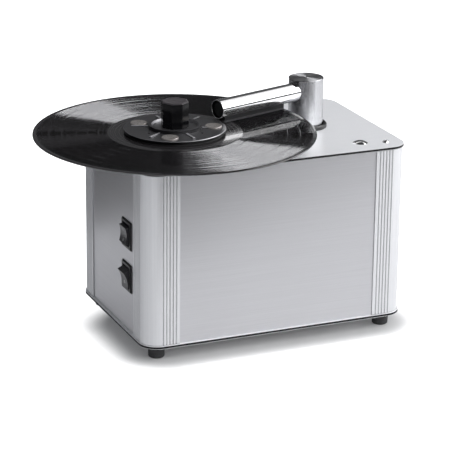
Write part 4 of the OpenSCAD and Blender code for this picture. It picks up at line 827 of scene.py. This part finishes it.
def make_plates():
    """Composite plates: thin skins that stand a hair proud of the black core, with clean holes."""
    radius = PLATE_CORNER_MM * MM
    cap, fan, gears = middle("blanking_cap"), middle("blower_fan"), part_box("motor_bracket")
    inset = BRACKET_INSET_MM * MM
    upper = [circle_loop(SPINDLE.x, SPINDLE.y, SPINDLE_HOLE_MM * MM),
             circle_loop(POST.x, POST.y, POST_HOLE_MM * MM, 72),
             circle_loop(cap.x, cap.y, CAP_HOLE_MM * MM)]
    upper += [circle_loop(x, y, SCREW_HOLE_MM * MM, 32)
              for x in (gears[0].x + inset, gears[1].x - inset)
              for y in (gears[0].y + inset, gears[1].y - inset)]
    lower = [stadium_loop(fan.x + i * SLOT_PITCH_MM * MM, fan.y, SLOT_WIDTH_MM * MM,
                          SLOT_LENGTH_MM * MM) for i in (-2, -1, 0, 1, 2)]
    for name, node, holes in (("deck_plate", "top_plate", upper),
                              ("base_plate", "bottom_plate", lower)):
        low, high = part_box(node)
        outline = arc_loop([(-high.x, -high.y, radius), (high.x, -high.y, radius),
                            (high.x, high.y, radius), (-high.x, high.y, radius)], 20)
        levels = [(low.z + z * MM, i * MM) for z, i in PLATE_LEVELS_MM]
        piece = slab(name, outline, levels, holes, "casing", replaced=[node],
                     slot="composite_plate")
        piece.data.materials.append(PLATE_CORE)
        bottom, top = (low.z + z * MM for z in CORE_MM)
        for face in piece.data.polygons:
            if bottom < face.center.z < top and abs(face.normal.z) < 0.9:
                face.material_index = 1


make_record()
make_knob()
make_feet()
make_plates()

for name, width in BROKEN_EDGES_MM.items():
    soften(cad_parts[name], width * MM)

# Floor, light and world

FLOOR_HALF = 14.0
# The box that the floor's painted shadow and its glow are laid out around
SHADOW_CENTRE_Y = -0.03
SHADOW_HALF = (0.120, 0.040, 0.0)
SHADOW_EDGE = 0.03  # how far past that half size the ramps start
LIGHT_CENTRE = Vector((0, 0, 0.18))
FLAG_REACH = 3.4
FLAG_STEPS = 32
FLOOR_FLAG_Z = 0.002

# Name, azimuth, elevation, distance, width, height, level, and whether only gloss sees it
LAMPS = (
    ("front_box", -72, 37, 2.0, 1.9, 1.5, 2.5, False),
    ("right_box", -9, 34, 2.0, 1.9, 1.5, 2.6, False),
    ("front_gloss", -61.5, 38.3, 2.09, 1.565, 1.85, 4.0, True),
    ("right_gloss", -8.5, 38.3, 2.09, 1.707, 1.85, 2.9, True))
# Name, first and last azimuth, lowest and highest elevation, and tone
WALL_FLAGS = (
    ("flag_back", 18, 45, -2, 40, 0.06),
    ("flag_rear", 45, 120, -2, 46, 0.10),
    ("flag_left", 120, 258, -2, 62, 0.03),
    ("flag_low", -102, 20, -2, 7, 0.03))
# Name, height, corners and tone
LEVEL_FLAGS = (
    ("flag_top", 5.4, ((-FLAG_REACH, -FLAG_REACH), (FLAG_REACH, -FLAG_REACH),
                       (FLAG_REACH, FLAG_REACH), (-FLAG_REACH, FLAG_REACH)), 0.06),
    ("flag_floor", FLOOR_FLAG_Z, ((-0.25, -0.33), (-0.3, -2.2), (2.0, -2.2), (0.75, -0.85)), 0.14),
    ("flag_behind", FLOOR_FLAG_Z, ((-1.6, 0.30), (-0.19, 0.34), (0.5, 2.4), (-1.6, 2.4)), 0.10))


def make_floor():
    """A pale floor that takes the shadow and also has a painted shadow for the camera, its colour
    darker close to the object, and that glows white for the camera further out.
    """
    mesh = bpy.data.meshes.new("floor")
    half = FLOOR_HALF
    mesh.from_pydata([(-half, -half, 0), (half, -half, 0), (half, half, 0), (-half, half, 0)],
                     [], [(0, 1, 2, 3)])
    floor = bpy.data.objects.new("floor", mesh)
    scene.collection.objects.link(floor)
    floor.location.z = -0.0002
    g = Graph("floor")
    speck = g.noise(g.point, 40, 3)
    centre = g.vector("ABSOLUTE", g.moved(0, SHADOW_CENTRE_Y, 0))
    beyond = g.vector("MAXIMUM", g.vector("SUBTRACT", centre, SHADOW_HALF), (0, 0, 0))
    away = g.vector("LENGTH", g.scaled(1, 1, 0, beyond), out="Value")
    away = g.math("SUBTRACT", away, SHADOW_EDGE)
    colour = g.shade(speck, (0.80, 0.80, 0.80), (0.82, 0.82, 0.82))
    path = g.node("LightPath").outputs
    # Painted shadow: for camera rays the floor's colour is darker close to the object.
    painted_shadow_near = g.span(away, 0.01, 0.05, 0.62, 1.0, interpolation_type="SMOOTHSTEP")
    painted_shadow_tint = g.lerp(path["Is Camera Ray"], 1.0, painted_shadow_near)
    diffuse = g.node("BsdfDiffuse", {"Color": g.stretched(colour, painted_shadow_tint)}).outputs[0]
    rise = g.span(away, 0.002, 0.046, 0.05, 1.0, interpolation_type="SMOOTHSTEP")
    mirrored = g.math("MAXIMUM", path["Is Glossy Ray"], path["Is Transmission Ray"])
    share = g.math("MAXIMUM", path["Is Camera Ray"], g.times(mirrored, 0.15))
    glow = {"Color": (1, 1, 1, 1), "Strength": g.times(rise, share)}
    both = {0: diffuse, 1: g.node("Emission", glow).outputs[0]}
    lit = {0: g.math("MAXIMUM", mirrored, path["Is Camera Ray"]), 1: diffuse,
           2: g.node("AddShader", both).outputs[0]}
    g.put(g.out.inputs[0], g.node("MixShader", lit).outputs[0])
    mesh.materials.append(g.owner)


def towards(azimuth, elevation, reach):
    a, e = math.radians(azimuth), math.radians(elevation)
    way = Vector((math.cos(a) * math.cos(e), math.sin(a) * math.cos(e), math.sin(e)))
    return way * reach + LIGHT_CENTRE


def softbox(name, azimuth, elevation, reach, width, height, level, gloss):
    """A lamp that faces the object and lights it, or an upright one that only gloss sees."""
    data = bpy.data.lights.new(name, "AREA")
    data.shape = "RECTANGLE"
    data.size, data.size_y = width, height
    data.energy = level * math.pi * width * height
    lamp = bpy.data.objects.new(name, data)
    scene.collection.objects.link(lamp)
    place = towards(azimuth, elevation, reach)
    lamp.location = place
    back = Vector((place.x, place.y, 0.0 if gloss else place.z - LIGHT_CENTRE.z))
    lamp.rotation_euler = back.to_track_quat("Z", "Y").to_euler()
    lamp.visible_diffuse, lamp.visible_glossy = not gloss, gloss


def dark_piece(name, verts, faces, tone):
    """A dark flag that the camera doesn't see, and that only metal and gloss reflect."""
    mesh = bpy.data.meshes.new(name)
    mesh.from_pydata(verts, [], faces)
    piece = bpy.data.objects.new(name, mesh)
    scene.collection.objects.link(piece)
    g = Graph(name)
    cloth = g.blend(g.noise(g.point, 2, 2), (tone * 0.85,) * 3,
                    (tone * 1.1, tone * 1.1, tone * 1.15))
    g.put(g.out.inputs[0], g.node("Emission", {"Color": cloth}).outputs[0])
    mesh.materials.append(g.owner)
    for ray in ("camera", "shadow", "diffuse"):
        setattr(piece, "visible_" + ray, False)


def wall_flag(name, first, last, low, high, tone):
    """A dark flag that stands round the object."""
    verts, faces = [], []
    for k in range(FLAG_STEPS + 1):
        a = first + (last - first) * k / FLAG_STEPS
        for e in (low, high):
            rise = FLAG_REACH * math.tan(math.radians(e))
            verts.append(towards(a, 0, FLAG_REACH) + Vector((0, 0, rise)))
        if k:
            faces.append((2 * k - 2, 2 * k, 2 * k + 1, 2 * k - 1))
    dark_piece(name, verts, faces, tone)


def make_world():
    """White to the camera and to gloss, and a dimmer, slightly cool light on the rest."""
    g = Graph("studio", bpy.data.worlds.new("studio"), "World")
    scene.world = g.owner
    path = g.node("LightPath").outputs
    mirrored = g.math("MAXIMUM", path["Is Glossy Ray"], path["Is Transmission Ray"])
    seen = g.math("MAXIMUM", path["Is Camera Ray"], mirrored)
    plain = g.node("Background", {"Color": (0.93, 0.95, 1.0, 1), "Strength": 0.5}).outputs[0]
    white = g.node("Background", {"Color": (1, 1, 1, 1)}).outputs[0]
    g.put(g.out.inputs[0], g.node("MixShader", {0: seen, 1: plain, 2: white}).outputs[0])


make_floor()
make_world()
for row in LAMPS:
    softbox(*row)
for row in WALL_FLAGS:
    wall_flag(*row)
for name, height, corners, tone in LEVEL_FLAGS:
    dark_piece(name, [(x, y, height) for x, y in corners], [(0, 1, 2, 3)], tone)
